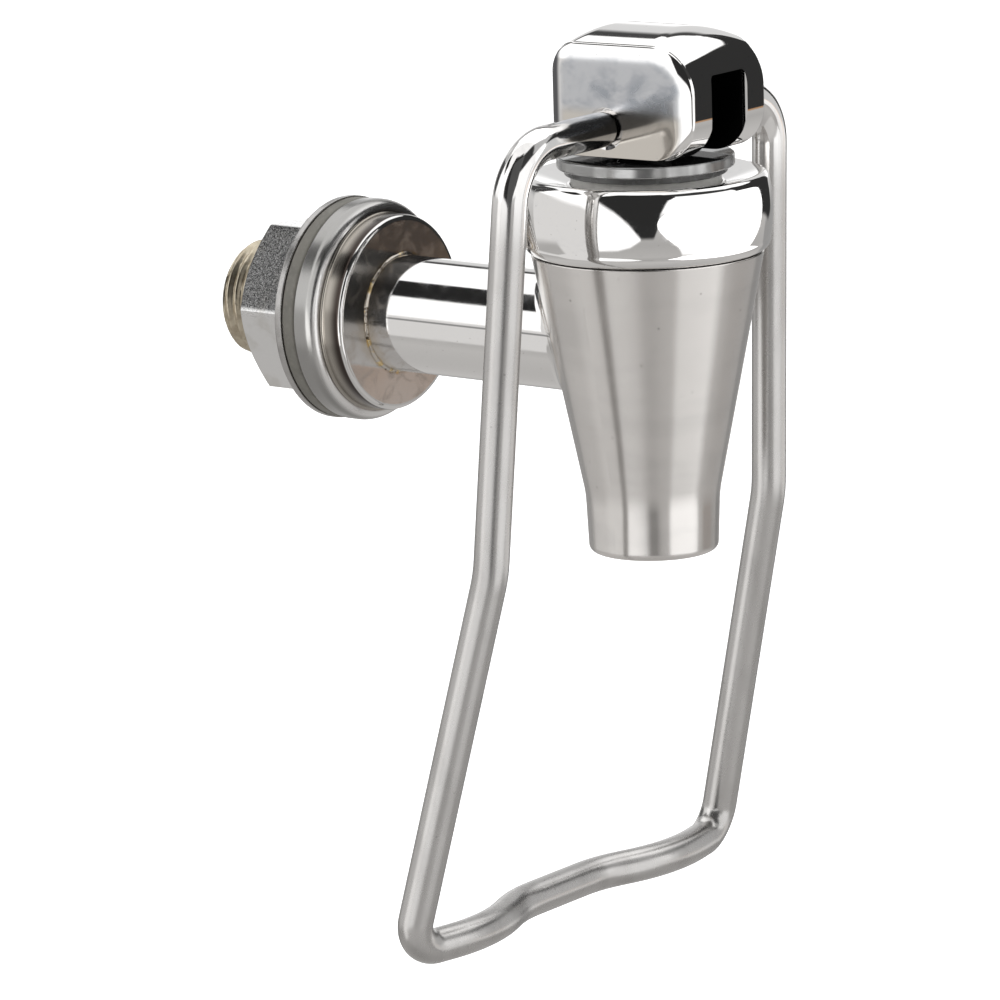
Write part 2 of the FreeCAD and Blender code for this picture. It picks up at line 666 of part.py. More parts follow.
def make_wire_loop():
    bar_z = PIVOT_Z - LOOP_DROP
    foot_y = SPOUT_Y + LOOP_SET_BACK
    bends = [0, TOP_BEND_R, KINK_BEND_R, FOOT_BEND_R, BULGE_BEND_R, DIP_BEND_R]
    halves = []
    for side in (-1, 1):
        hang = side * LOOP_HANG
        bulge = BAR_BULGE_AT * LOOP_FOOT_HALF
        dip = BAR_DIP_AT * LOOP_FOOT_HALF
        halves.append([
            V(side * WIRE_END_X, SPOUT_Y, PIVOT_Z),
            V(side * LOOP_TOP_HALF, SPOUT_Y + 0.1, PIVOT_Z),
            V(side * LOOP_KINK_HALF, SPOUT_Y + LOOP_KINK_SET_BACK, PIVOT_Z - LOOP_KINK_DROP),
            V(side * LOOP_FOOT_HALF, foot_y, bar_z + hang),
            V(side * bulge, foot_y - BAR_BULGE, bar_z + hang * BAR_BULGE_AT),
            V(side * dip, foot_y + BAR_DIP, bar_z + hang * BAR_DIP_AT),
        ])
    points = halves[0] + list(reversed(halves[1]))
    bends = bends + list(reversed(bends))
    edges = []
    last = points[0]
    for i in range(1, len(points) - 1):
        to_before = (points[i - 1] - points[i]).normalize()
        to_after = (points[i + 1] - points[i]).normalize()
        corner = to_before.getAngle(to_after) / 2.0
        run = bends[i] / math.tan(corner)
        into = points[i] + to_before * run
        away = points[i] + to_after * run
        middle = points[i] + (to_before + to_after).normalize() * (bends[i] / math.sin(corner) - bends[i])
        edges.append(Part.makeLine(last, into))
        edges.append(Part.Arc(into, middle, away).toShape())
        last = away
    edges.append(Part.makeLine(last, points[-1]))
    path = Part.Wire(edges)
    section = Part.Wire([Part.makeCircle(WIRE_R, points[0], V(1, 0, 0))])
    loop = path.makePipeShell([section], True, False)
    ends = [e for e in loop.Edges if e.Closed and abs(e.BoundBox.Center.x) < WIRE_END_X + 0.01]
    return loop.makeChamfer(0.35, ends)


PIECES = {
    "inlet_tube": make_inlet_tube,
    "wall_flange": make_wall_flange,
    "wall_seal": make_wall_seal,
    "clamp_washer": make_clamp_washer,
    "hex_nut": make_hex_nut,
    "spout_body": make_spout_body,
    "bonnet_nut": make_bonnet_nut,
    "bonnet_guide": make_bonnet_guide,
    "stem_oring": make_stem_oring,
    "dust_seal": make_dust_seal,
    "cam_ring": make_cam_ring,
    "slip_washer": make_slip_washer,
    "seat_cup": make_seat_cup,
    "stem_spring": make_stem_spring,
    "spring_washer": make_spring_washer,
    "stem": make_stem,
    "pivot_pin": make_pivot_pin,
    "cup_button": make_cup_button,
    "lever_head": make_lever_head,
    "wire_loop": make_wire_loop,
    "grub_screw_left": lambda: make_grub_screw(-1),
    "grub_screw_right": lambda: make_grub_screw(1),
}

os.makedirs("parts", exist_ok=True)
for name, make in PIECES.items():
    shape = make()
    if len(shape.Solids) == 1:
        shape = shape.Solids[0]
    print(name, "solids", len(shape.Solids), "valid", shape.isValid(), "volume", round(shape.Volume, 1))
    shape.exportStep(os.path.join("parts", name + ".step"))
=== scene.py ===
"""Beverage dispenser spigot with a push-back wire loop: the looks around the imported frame.

Metres, +Z up, the same frame as the solids: the origin is on the shank axis at the tank wall's
outer face, +Y runs into the tank.
"""
import functools
import json
from math import atan, atan2, cos, degrees, pi, radians, sin, sqrt, tan

import bmesh
import bpy
from mathutils import Matrix, Vector
from mathutils.bvhtree import BVHTree
from mathutils.interpolate import poly_3d_calc


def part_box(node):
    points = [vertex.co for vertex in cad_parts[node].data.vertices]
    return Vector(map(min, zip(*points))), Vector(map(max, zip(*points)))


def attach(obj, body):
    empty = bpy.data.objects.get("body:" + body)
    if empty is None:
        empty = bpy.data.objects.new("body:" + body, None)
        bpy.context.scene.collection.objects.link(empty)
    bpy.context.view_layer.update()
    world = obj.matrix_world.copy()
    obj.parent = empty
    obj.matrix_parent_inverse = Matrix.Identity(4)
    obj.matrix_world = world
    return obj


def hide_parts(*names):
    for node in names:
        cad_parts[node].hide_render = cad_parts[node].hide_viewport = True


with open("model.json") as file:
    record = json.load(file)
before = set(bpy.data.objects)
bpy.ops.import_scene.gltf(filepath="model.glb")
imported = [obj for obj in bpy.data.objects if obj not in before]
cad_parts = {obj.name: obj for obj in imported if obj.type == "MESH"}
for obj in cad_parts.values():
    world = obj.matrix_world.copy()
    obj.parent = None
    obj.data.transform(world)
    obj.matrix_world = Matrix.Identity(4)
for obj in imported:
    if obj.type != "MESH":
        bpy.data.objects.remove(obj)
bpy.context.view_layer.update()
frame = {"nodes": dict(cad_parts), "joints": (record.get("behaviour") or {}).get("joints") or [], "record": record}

scene = bpy.context.scene
MM = 0.001
DEGREES = 180.0 / pi

# Camera, from the photograph's perspective
CAMERA_COMPASS = 52.768     # degrees to the left of the spout's front
CAMERA_HEIGHT_ANGLE = 11.964
CAMERA_ROLL = 1.529
CAMERA_PLACE = Vector((-0.76649, -0.60760, 0.17934))
CAMERA_FOCAL_PIXELS = 7194.4
CAMERA_REACH = 60.0
PHOTO_PIXELS = 1000
SENSOR_WIDTH = 36.0

FLOOR_Z = -0.6
FLOOR_HALF = 12.0
LAMP_AIM = Vector((0.0, -0.05, -0.02))
PANEL_FAR = 1.2


def put(name, data):
    """New object in the scene."""
    made = bpy.data.objects.new(name, data)
    scene.collection.objects.link(made)
    return made


def make_camera():
    turn = radians(CAMERA_COMPASS)
    rise = radians(CAMERA_HEIGHT_ANGLE)
    roll = radians(CAMERA_ROLL)
    back = Vector((-sin(turn) * cos(rise), -cos(turn) * cos(rise), sin(rise)))
    right = Vector((cos(turn), -sin(turn), 0.0))
    up = right.cross(-back)
    rolled_right = right * cos(roll) - up * sin(roll)
    rolled_up = right * sin(roll) + up * cos(roll)
    data = bpy.data.cameras.new("camera")
    data.sensor_width = SENSOR_WIDTH
    data.lens = CAMERA_FOCAL_PIXELS * SENSOR_WIDTH / PHOTO_PIXELS
    data.clip_end = CAMERA_REACH
    camera = put("camera", data)
    columns = Matrix((rolled_right, rolled_up, back)).transposed().to_4x4()
    camera.matrix_world = Matrix.Translation(CAMERA_PLACE) @ columns
    scene.camera = camera


class Graph:
    """Short calls for making shader nodes in one node tree."""

    def __init__(self, tree):
        self.tree = tree
        tree.nodes.clear()

    def feed(self, socket, value):
        if isinstance(value, bpy.types.NodeSocket):
            self.tree.links.new(value, socket)
        else:
            socket.default_value = value

    def node(self, kind, inputs=(), **settings):
        """New node with its settings, and its inputs by name or number."""
        made = self.tree.nodes.new("ShaderNode" + kind)
        for key, value in settings.items():
            setattr(made, key, value)
        for name, value in dict(inputs).items():
            self.feed(made.inputs[name], value)
        return made

    def out(self, *how, **settings):
        """First output of a new node."""
        return self.node(*how, **settings).outputs[0]

    def math(self, operation, *values):
        return self.out("Math", enumerate(values), operation=operation)

    def times(self, first, *others):
        for other in others:
            first = self.math("MULTIPLY", first, other)
        return first

    def minus(self, first, second):
        return self.math("SUBTRACT", first, second)

    def smooth(self, value, low, high):
        """Smooth step of value, 0 at low and 1 at high."""
        inputs = {"Value": value, "From Min": low, "From Max": high}
        return self.out("MapRange", inputs, interpolation_type="SMOOTHSTEP")

    def mix(self, factor, first, second):
        """Mix of two colours."""
        return self.node("Mix", {0: factor, 6: first, 7: second}, data_type="RGBA").outputs[2]

    def ramp(self, value, stops):
        """Colours at places from 0 to 1, straight between them."""
        made = self.node("ValToRGB", {0: value})
        elements = made.color_ramp.elements
        while len(elements) < len(stops):
            elements.new(0.5)
        for element, (place, colour) in zip(elements, stops):
            element.position = place
            element.color = colour
        return made.outputs[0]


def grey(value, warmth=0.0):
    """Grey of a linear brightness, warmer with a positive warmth."""
    return (value * (1.0 + warmth), value, value * (1.0 - warmth), 1.0)


WHITE = 1.4
WARM_EDGE = (0.50, 0.30, 0.17, 1.0)
BAND_SOFTNESS = 1.2

# Light of the studio by height above the horizon in degrees
BACKDROP = (
    (-90.0, grey(0.46, 0.02)), (-38.0, grey(0.58, 0.02)), (-20.0, grey(0.46, 0.02)),
    (-9.0, grey(0.54, 0.02)), (-2.5, grey(0.70, 0.01)), (-1.0, grey(0.60)),
    (0.5, grey(0.74)), (3.0, grey(WHITE)),
)

# Bands over it, each over the one before: lower and upper edge as (compass, low, high) in degrees from
# left to right, colour, softness in degrees and another softness of the lower edge
STUDIO = (
    # Paler panel low on the left, and the white strip beside it
    (((-179.9, -16, 4.5), (-148, -18, 4.5), (-137, -27, 4.5), (-118, -28, 4.5), (-106, -26, 2)),
     grey(0.80, 0.012), 1.8),
    (((-108, -20, 0), (-105, -24, 12), (-90, -24, 12), (-82, -24, 12), (-70, -22, 4), (-60, -17, -8)),
     grey(WHITE)),
    # White panel low on the right
    (((-26, -20, -5), (-20, -28, 14), (24, -28, 16), (30, -20, 4)), grey(WHITE), 2.0),
    # Dark corner far back
    (((152, 8, 30), (160, 0, 42), (179.9, 0, 44)), grey(0.07), 2.0),
    (((-179.9, 0, 44), (-173, 3, 42), (-166, 12, 30)), grey(0.07), 2.0),
    # Dark beam over the front right
    (((-31, 30, 62), (20, 27, 60), (34, 26, 52), (44, 26, 44)), grey(0.05), 2.0),
    # Grey wall behind, under its dark ledge
    (((84, -14, -12), (92, -26, -7), (165, -26, -7), (172, -14, -12)), grey(0.34, 0.01), 2.5),
    # The photographer's dark side, pointed at the foot
    (((-104, 22, 28), (-100, 9, 66), (-92, 6, 68), (-84, 3, 68), (-77, -1, 68), (-70, -6, 68),
      (-65, -11, 68), (-60, -16, 68), (-48, -16, 68), (-45, -10, 68), (-43, 0, 68), (-36, 9, 68),
      (-30, 14, 66), (-26, 22, 28)), grey(0.028), 1.6),
    # Dark front right, with a warm foot
    (((40, -11, -9), (43, -12.2, -9.5), (63, -12.2, -9.5), (66, -11, -9)), WARM_EDGE, 0.6),
    (((38, 2, 30), (42, -10.4, 42), (58, -10.4, 42), (62, -10.4, 38), (66, -9.5, 36), (76, -9, 33.5),
      (83, -9.8, 31.5), (92, -11, 31.5), (97, -10, 34.5), (100, -9, 36), (103, 10, 36), (106, 28, 36)),
     grey(0.034), 0.8),
    # Grey ledge behind, darkening upwards to a sharp edge
    (((104, 9, 39), (110, 9, 39.5), (125, 9, 40), (128, 9, 36), (131, 9, 32.5), (158, 10, 32.5),
      (164, 20, 30)), grey(0.78), 0.7, 5.0),
    (((99, 26, 36), (102, 31, 36.5), (106, 33, 38.5), (110, 33, 39.5), (125, 33, 40), (128, 29, 36),
      (131, 25.5, 32.5), (158, 26, 32.5), (164, 29, 30)), grey(0.07), 0.7, 3.0),
    # Black panel high at the back left
    (((-168, 44, 46), (-164, 40, 54), (-150, 37, 52), (-134, 33, 47), (-130, 36, 40)), grey(0.02)),
)


def make_world():
    """Photo studio round the object, by direction: panels, dark sides, a light floor."""
    world = bpy.data.worlds.new("studio")
    scene.world = world
    world.use_nodes = True
    g = Graph(world.node_tree)
    direction = g.node("TexCoord").outputs["Generated"]
    x, y, z = g.node("SeparateXYZ", {0: direction}).outputs
    compass = g.times(g.math("ARCTAN2", x, g.times(y, -1.0)), DEGREES)
    height = g.times(g.math("ARCSINE", z), DEGREES)
    around = g.math("DIVIDE", g.math("ADD", compass, 180.0), 360.0)
    here = g.math("DIVIDE", g.math("ADD", height, 90.0), 180.0)

    def level(height_angle):
        return (height_angle + 90.0) / 180.0

    def band(under, edges, value, soft=BAND_SOFTNESS, soft_foot=None):
        foot = soft_foot or soft
        stops = [((a + 180.0) / 360.0, (level(low), level(high), 0.0, 1.0)) for a, low, high in edges]
        low, high = g.node("SeparateColor", {0: g.ramp(around, stops)}).outputs[:2]
        above = g.smooth(g.minus(here, low), -foot / 180.0, foot / 180.0)
        below = g.smooth(g.minus(high, here), -soft / 180.0, soft / 180.0)
        right_of = g.math("GREATER_THAN", around, stops[0][0])
        left_of = g.math("LESS_THAN", around, stops[-1][0])
        return g.mix(g.times(right_of, left_of, above, below), under, value)

    light = g.ramp(here, [(level(height_angle), colour) for height_angle, colour in BACKDROP])
    for row in STUDIO:
        light = band(light, *row)
    seen = g.mix(g.node("LightPath").outputs["Is Camera Ray"], light, grey(1.0))
    g.node("OutputWorld", {0: g.out("Background", {"Color": seen})})


def make_floor():
    mesh = bpy.data.meshes.new("floor")
    corners = [(a * FLOOR_HALF, b * FLOOR_HALF, FLOOR_Z) for a, b in ((-1, -1), (1, -1), (1, 1), (-1, 1))]
    mesh.from_pydata(corners, [], [(0, 1, 2, 3)])
    floor = put("floor", mesh)
    floor.visible_glossy = False
    floor.visible_diffuse = False
    floor.visible_shadow = False
    material = bpy.data.materials.new("pale_floor")
    material.use_nodes = True
    g = Graph(material.node_tree)
    diffuse = g.out("BsdfDiffuse", {"Color": grey(0.82)})
    strength = g.times(g.node("LightPath").outputs["Is Camera Ray"], 0.7)
    glow = g.out("Emission", {"Strength": strength})
    g.node("OutputMaterial", {"Surface": g.out("AddShader", {0: diffuse, 1: glow})})
    mesh.materials.append(material)


def make_lamp(name, place, size, watts):
    data = bpy.data.lights.new(name, "AREA")
    data.shape = "SQUARE"
    data.size = size
    data.energy = watts
    lamp = put(name, data)
    lamp.location = place
    lamp.rotation_euler = (LAMP_AIM - Vector(place)).to_track_quat("-Z", "Y").to_euler()
    lamp.visible_glossy = False
    lamp.visible_camera = False


def make_panel(name, piece, compass, height, wide, tall, value=WHITE, shape="RECTANGLE"):
    """Bright reflection panel for one piece only, placed by direction, its angles in degrees."""
    a, e = radians(compass), radians(height)
    way = Vector((sin(a) * cos(e), -cos(a) * cos(e), sin(e)))
    data = bpy.data.lights.new(name, "AREA")
    data.shape = shape
    data.size = 2.0 * PANEL_FAR * tan(radians(wide / 2.0))
    data.size_y = 2.0 * PANEL_FAR * tan(radians(tall / 2.0))
    data.energy = value * pi * data.size * data.size_y
    data.diffuse_factor = 0.0
    lamp = put(name, data)
    lamp.location = way * PANEL_FAR
    lamp.rotation_euler = way.to_track_quat("Z", "Y").to_euler()
    lamp.visible_camera = False
    only = bpy.data.collections.new(name + "_pieces")
    only.objects.link(piece)
    lamp.light_linking.receiver_collection = only


class Surface(Graph):
    """Principled surface with short calls for the fine detail that every piece carries."""

    def __init__(self, name, colour, roughness, metallic=1.0):
        self.name = name
        self.material = bpy.data.materials.new(name)
        self.material.use_nodes = True
        super().__init__(self.material.node_tree)
        self.shader = self.node("BsdfPrincipled", {"Metallic": metallic})
        self.colour = colour + (1.0,)
        self.rough = roughness
        self.normal = None
        place = self.node("TexCoord").outputs["Object"]
        self.spot = self.out("VectorMath", {0: place, "Scale": 1.0 / MM}, operation="SCALE")
        self.x, self.y, self.z = self.node("SeparateXYZ", {0: self.spot}).outputs

    def set(self, name, value):
        self.feed(self.shader.inputs[name], value)

    def distance(self, a, b):
        return self.math("SQRT", self.math("ADD", self.times(a, a), self.times(b, b)))

    def turned(self, axis):
        """Radius, height and turn about the spout axis (Z) or the shank axis (Y), as one vector."""
        other = self.minus(self.y, SPOUT_Y) if axis == "Z" else self.z
        self.along = self.z if axis == "Z" else self.y
        self.radius = self.distance(self.x, other)
        self.turn = self.math("ARCTAN2", other, self.x)
        parts = (self.radius, self.along, self.turn)
        return self.out("CombineXYZ", enumerate(parts))

    def noise(self, scale, detail=2.0, stretch=(1.0, 1.0, 1.0), lumps=0.5, twist=0.0, over=None):
        """Noise over the piece or over another vector."""
        stretched = self.out("Mapping", {"Vector": over or self.spot, "Scale": stretch})
        inputs = {"Vector": stretched, "Scale": scale, "Detail": detail}
        inputs.update({"Roughness": lumps, "Distortion": twist})
        return self.out("TexNoise", inputs)

    def patches(self, low, high, scale, *shape, **more):
        """Noise as soft patches, 0 below low and 1 above high."""
        return self.smooth(self.noise(scale, *shape, **more), low, high)

    def specks(self, scale, amount):
        """Sparse small spots, 1 inside a spot."""
        distance = self.out("TexVoronoi", {"Vector": self.spot, "Scale": scale})
        chance = self.patches(0.5, 0.62, 0.7 * scale)
        return self.times(self.smooth(distance, amount, 0.4 * amount), chance)

    def bump(self, height, depth):
        """Raise the surface by height (0 to 1) times a depth in millimetres."""
        inputs = {"Distance": depth * MM, "Height": height}
        if self.normal is not None:
            inputs["Normal"] = self.normal
        self.normal = self.out("Bump", inputs)

    def tint(self, factor, colour):
        self.colour = self.mix(factor, self.colour, colour + (1.0,))

    def roughen(self, factor, to):
        """Blend the roughness towards another value."""
        inputs = {0: factor, 2: self.rough, 3: to}
        self.rough = self.out("Mix", inputs, data_type="FLOAT")

    def finish(self):
        self.set("Base Color", self.colour)
        self.set("Roughness", self.rough)
        self.set("Normal", self.normal)
        self.node("OutputMaterial", {"Surface": self.shader.outputs[0]})
        return self.material


# Sizes in millimetres, the outer ones from the frame
def box_mm(node):
    low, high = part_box(node)
    return low / MM, high / MM


FLANGE_LOW, FLANGE_HIGH = box_mm("wall_flange")
SEAL_LOW = box_mm("wall_seal")[0]
WASHER_HIGH = box_mm("clamp_washer")[1]
NUT_LOW, NUT_HIGH = box_mm("hex_nut")
TUBE_HIGH = box_mm("inlet_tube")[1]
SPOUT_LOW, SPOUT_HIGH = box_mm("spout_body")
COLLAR_LOW, COLLAR_HIGH = box_mm("bonnet_nut")
DUST_LOW, DUST_HIGH = box_mm("dust_seal")
CAM_LOW, CAM_HIGH = box_mm("cam_ring")
HEAD_LOW, HEAD_HIGH = box_mm("lever_head")

SPOUT_Y = (CAM_LOW.y + CAM_HIGH.y) / 2.0
PIVOT_Z = [joint for joint in frame["joints"] if joint["name"] == "lever_tilt"][0]["pos_m"][2] / MM
ROUND_SEGMENTS = 192
FINE_SEGMENTS = 256

# Inlet
SHANK_R = TUBE_HIGH.x
SHANK_BORE_R = 6.2
TUBE_LINE_TURN = 173.75     # degrees, a fine line left along the tube by drawing
THREAD_PITCH = 1.4
THREAD_DEPTH = 0.5
THREAD_FROM = 6.0
THREAD_RUN_OUT = 0.9
RIM_R = FLANGE_HIGH.x
RIM_LENGTH = 3.5
RIM_NOSE_R = 1.7
LIP_OUT = 1.1               # edge of the rim to the groove in its back
LIP_IN = 1.6                # and to the groove's other side
LIP_DEPTH = 0.5
FACE_R = RIM_R - 1.8
FACE_Y = FLANGE_LOW.y + 0.55
FACE_CROWN = 0.11
NUT_FLAT_R = 11.3           # axis to a flat
NUT_BLUNT_R = 0.35          # rounding of its corners
NUT_TURN = 3.5              # degrees, how the nut stopped when it was tightened

# Spout
CONE_TOP_Z = 12.2
CONE_TOP_R = 15.65
CONE_LENGTH = 32.8
CONE_FOOT_R = 9.05
OUTLET_TAPER = 0.35
OUTLET_WALL = 1.4
SEAT_DEPTH = 20.8
SEAT_BORE_R = 6.0
NECK_R = CONE_TOP_R - 1.65
NECK_WALL = 1.7
FIN_HALF = 0.55             # three fins guide the flow in the bore
TUBE_BLEND = 1.3            # reach of the fillet along the tube and the cone
TUBE_BLEND_RISE = 1.0       # and this much more on top

# Bonnet
COLLAR_R = COLLAR_HIGH.x - 0.01
COLLAR_LIP = 2.25
COLLAR_CROWN_R = 1.2
COLLAR_LEAN = radians(13.0)
CAM_STUB_R = 6.58
CAM_STUB_Z = COLLAR_HIGH.z - 0.85
STEM_BORE_R = 3.56

# Lever
HEAD_HALF = HEAD_HIGH.x
HEAD_TOP_Z = HEAD_LOW.z + 16.91
HEAD_FRONT = 13.94          # pivot to the front face
HEAD_BACK = 9.3             # pivot to the back face
HEAD_CROWN = 1.9
HEAD_NOSE_RISE = 0.4        # back to front
HEAD_FRONT_CROWN = 0.1
HEAD_BACK_CROWN = 0.15
SLOT_HALF = 3.85
SLOT_RISE = 7.3
SLOT_DEPTH = 3.9            # pivot to the back wall of the slot
WIRE_R = 2.4
WIRE_SKIN_R = 2.385
LOOP_TOP_HALF = 29.2
LOOP_KINK_HALF = 32.0
LOOP_FOOT_HALF = 35.5
LOOP_KINK_DROP = 56.4
LOOP_KINK_SET_BACK = 3.4
LOOP_DROP = 108.4
LOOP_SET_BACK = 16.2
LOOP_HANG = 0.5
BAR_BULGE = 2.9
BAR_DIP = 1.5
BAR_BULGE_AT = 0.6
BAR_DIP_AT = 0.257


# Materials
STEEL = (0.83, 0.82, 0.81)


def satin_steel():
    """Spout: satin, with fine rings left by the polishing belt."""
    s = Surface("satin_steel", (0.735, 0.712, 0.69), 0.23)
    ring = s.turned("Z")
    s.set("Tangent", s.out("Tangent", direction_type="RADIAL", axis="Z"))
    s.set("Anisotropic", 0.85)
    s.set("Anisotropic Rotation", 0.25)
    fine = s.noise(1.0, 3.0, (3.0, 9.0, 0.5), 0.65, over=ring)
    s.bump(fine, 0.0013)
    s.bump(s.noise(0.16, 2.0), 0.016)
    s.roughen(s.patches(0.3, 0.7, 0.16, 3.0), 0.27)
    s.roughen(s.smooth(fine, 0.5, 0.8), 0.21)
    s.tint(s.patches(0.45, 0.7, 0.35, 4.0, (1.0, 0.5, 1.5), over=ring), (0.69, 0.67, 0.65))
    s.tint(s.specks(0.5, 0.12), (0.5, 0.48, 0.46))
    # Painted shade, warm brown, on the cone round the tube joint
    behind = s.smooth(s.y, SPOUT_Y + 2.0, SPOUT_Y + 6.0)
    near = s.smooth(s.distance(s.x, s.z), SHANK_R + 3.2, SHANK_R + 1.0)
    s.tint(s.times(behind, near, 0.45), (0.52, 0.43, 0.31))
    return s


def polished_steel():
    """Collar: mirror bright, faint buffing rings and a few hairlines."""
    s = Surface("polished_steel", STEEL, 0.035)
    ring = s.turned("Z")
    s.bump(s.noise(0.12, 1.0), 0.012)
    s.bump(s.noise(1.0, 3.0, (2.0, 6.0, 0.4), 0.7, over=ring), 0.0003)
    smear = s.noise(0.3, 5.0, (1.0, 1.0, 2.0), 0.6, 0.8)
    s.roughen(s.smooth(smear, 0.45, 0.75), 0.12)
    s.tint(s.smooth(smear, 0.5, 0.8), (0.78, 0.775, 0.77))
    s.tint(s.specks(1.1, 0.12), (0.55, 0.54, 0.53))
    return s


def head_steel():
    """Lever head: buffed casting, its flat sides painted darker with cloudy patches of painted shade, a painted
    reflection low on them, a painted dark line along the back edge, and painted shade black inside the slot.
    """
    s = Surface("head_steel", STEEL, 0.04)
    across = s.math("ABSOLUTE", s.x)
    along = s.minus(s.y, SPOUT_Y)
    side = s.smooth(across, HEAD_HALF - 0.34, HEAD_HALF - 0.12)
    low = s.times(side, s.smooth(s.z, PIVOT_Z + 3.2, PIVOT_Z + 1.2))
    haze_and_shade = s.noise(0.2, 3.0, (1.0, 1.0, 1.4), 0.5, 0.3)
    s.bump(s.noise(0.16, 1.5), 0.010)
    s.bump(s.noise(2.2, 3.0, (0.5, 1.0, 1.0), 0.7), 0.0004)
    s.roughen(side, 0.2)
    s.roughen(s.times(side, s.smooth(haze_and_shade, 0.42, 0.66)), 0.3)
    # Painted shade: the flat sides darker, and darker still in cloudy patches; the same patches also make a real
    # haze
    s.tint(side, (0.56, 0.57, 0.59))
    s.tint(s.times(side, s.smooth(haze_and_shade, 0.38, 0.64)), (0.36, 0.38, 0.41))
    # Painted reflection, light beige, low on the sides round the wire holes
    s.roughen(low, 0.09)
    s.tint(low, (0.63, 0.595, 0.545))
    s.tint(s.specks(0.9, 0.13), (0.5, 0.49, 0.48))
    # Painted dark reflection along the back edge
    edge = s.times(s.smooth(along, HEAD_BACK - 2.0, HEAD_BACK - 1.1),
                   s.smooth(across, HEAD_HALF - 2.0, HEAD_HALF - 1.4))
    s.tint(edge, (0.10, 0.10, 0.105))
    # Slot walls painted black: painted shade inside the slot
    roof = PIVOT_Z + SLOT_RISE
    slot = s.times(
        s.smooth(across, SLOT_HALF + 0.16, SLOT_HALF + 0.06),
        s.smooth(along, -HEAD_FRONT + 0.3, -HEAD_FRONT + 0.8),
        s.smooth(along, SLOT_DEPTH + 0.8, SLOT_DEPTH + 0.3),
        s.smooth(s.z, roof + 0.25, roof + 0.1),
    )
    s.tint(slot, (0.012, 0.012, 0.012))
    s.roughen(slot, 0.5)
    return s


def tube_steel():
    """Tube: bright drawn steel, with a warm brown thread."""
    s = Surface("tube_steel", (0.79, 0.78, 0.77), 0.06)
    ring = s.turned("Y")
    s.bump(s.noise(0.14, 1.5), 0.012)
    s.bump(s.noise(1.0, 3.0, (1.0, 0.35, 30.0), 0.65, over=ring), 0.0006)
    s.roughen(s.patches(0.45, 0.7, 0.25, 5.0, lumps=0.6, twist=0.7), 0.14)
    patchy = s.noise(0.8, 5.0, lumps=0.6, twist=0.5)
    uneven = s.math("ADD", s.along, s.times(patchy, 3.0))
    heat = s.smooth(uneven, FLANGE_LOW.y - 0.6, FLANGE_LOW.y + 1.5)
    s.tint(s.times(heat, 0.5), (0.66, 0.57, 0.44))
    thread = s.smooth(s.along, THREAD_FROM - 1.0, THREAD_FROM + 0.5)
    s.tint(thread, (0.56, 0.50, 0.39))
    s.roughen(thread, 0.28)
    s.tint(s.times(thread, s.smooth(patchy, 0.42, 0.66)), (0.42, 0.36, 0.27))
    s.bump(s.noise(4.0, 3.0), 0.0012)
    off_line = s.math("ABSOLUTE", s.minus(s.turn, radians(TUBE_LINE_TURN)))
    before_flange = s.smooth(s.along, FLANGE_LOW.y - 2.5, FLANGE_LOW.y - 3.5)
    s.tint(s.times(s.smooth(off_line, 0.022, 0.008), before_flange, 0.8), (0.2, 0.2, 0.2))
    s.tint(s.specks(1.2, 0.12), (0.4, 0.38, 0.36))
    return s


def flange_steel():
    """Flange: satin turned rim painted darker, a groove in front with painted shade, bright bevel, a face with
    painted shade towards its top, browned braze.
    """
    s = Surface("flange_steel", (0.72, 0.71, 0.70), 0.05)
    ring = s.turned("Y")
    s.bump(s.noise(1.0, 3.0, (7.0, 7.0, 0.4), 0.7, over=ring), 0.0006)
    s.bump(s.noise(0.16, 1.5), 0.008)
    # Painted shade: the rim darker
    s.tint(s.smooth(s.radius, RIM_R - 0.75, RIM_R - 0.15), (0.34, 0.335, 0.325))
    s.roughen(s.smooth(s.radius, FACE_R + 0.3, FACE_R + 0.9), 0.24)
    # Painted shade in the groove in front of the rim, darkest towards the face
    neck_outside = s.smooth(s.radius, FACE_R + 0.7, FACE_R + 0.1)
    neck = s.times(s.smooth(s.radius, FACE_R - 0.12, FACE_R - 0.03), neck_outside)
    s.tint(neck, (0.34, 0.315, 0.28))
    s.tint(s.times(neck, s.smooth(s.along, FACE_Y + 2.6, FACE_Y + 0.9)), (0.05, 0.04, 0.035))
    s.roughen(neck, 0.2)
    face = s.smooth(s.radius, FACE_R - 0.55, FACE_R - 0.9)
    stain = s.noise(0.35, 5.0, lumps=0.6, twist=0.8)
    s.roughen(face, 0.15)
    s.roughen(s.times(face, s.smooth(stain, 0.45, 0.72)), 0.24)
    # Painted shade: the face darker towards the top
    s.tint(s.times(face, s.smooth(s.z, -9.0, 6.0)), (0.60, 0.575, 0.55))
    s.tint(s.times(face, s.smooth(stain, 0.45, 0.7), 0.5), (0.50, 0.45, 0.39))
    joint = s.smooth(s.radius, SHANK_R + 0.75, SHANK_R + 0.25)
    s.tint(s.times(joint, 0.6), (0.45, 0.40, 0.33))
    s.tint(s.times(joint, s.patches(0.52, 0.6, 0.55, 4.0, lumps=0.6)), (0.70, 0.55, 0.30))
    s.tint(s.times(joint, s.patches(0.6, 0.68, 1.7, 3.0)), (0.10, 0.07, 0.04))
    return s


def washer_steel():
    s = Surface("washer_steel", (0.44, 0.43, 0.42), 0.26)
    s.bump(s.noise(1.0, 3.0, (5.0, 5.0, 0.6), 0.7, over=s.turned("Y")), 0.0012)
    s.bump(s.noise(0.5, 3.0), 0.004)
    s.roughen(s.patches(0.45, 0.7, 0.6, 4.0), 0.36)
    s.tint(s.patches(0.45, 0.7, 0.4, 4.0), (0.36, 0.35, 0.34))
    return s


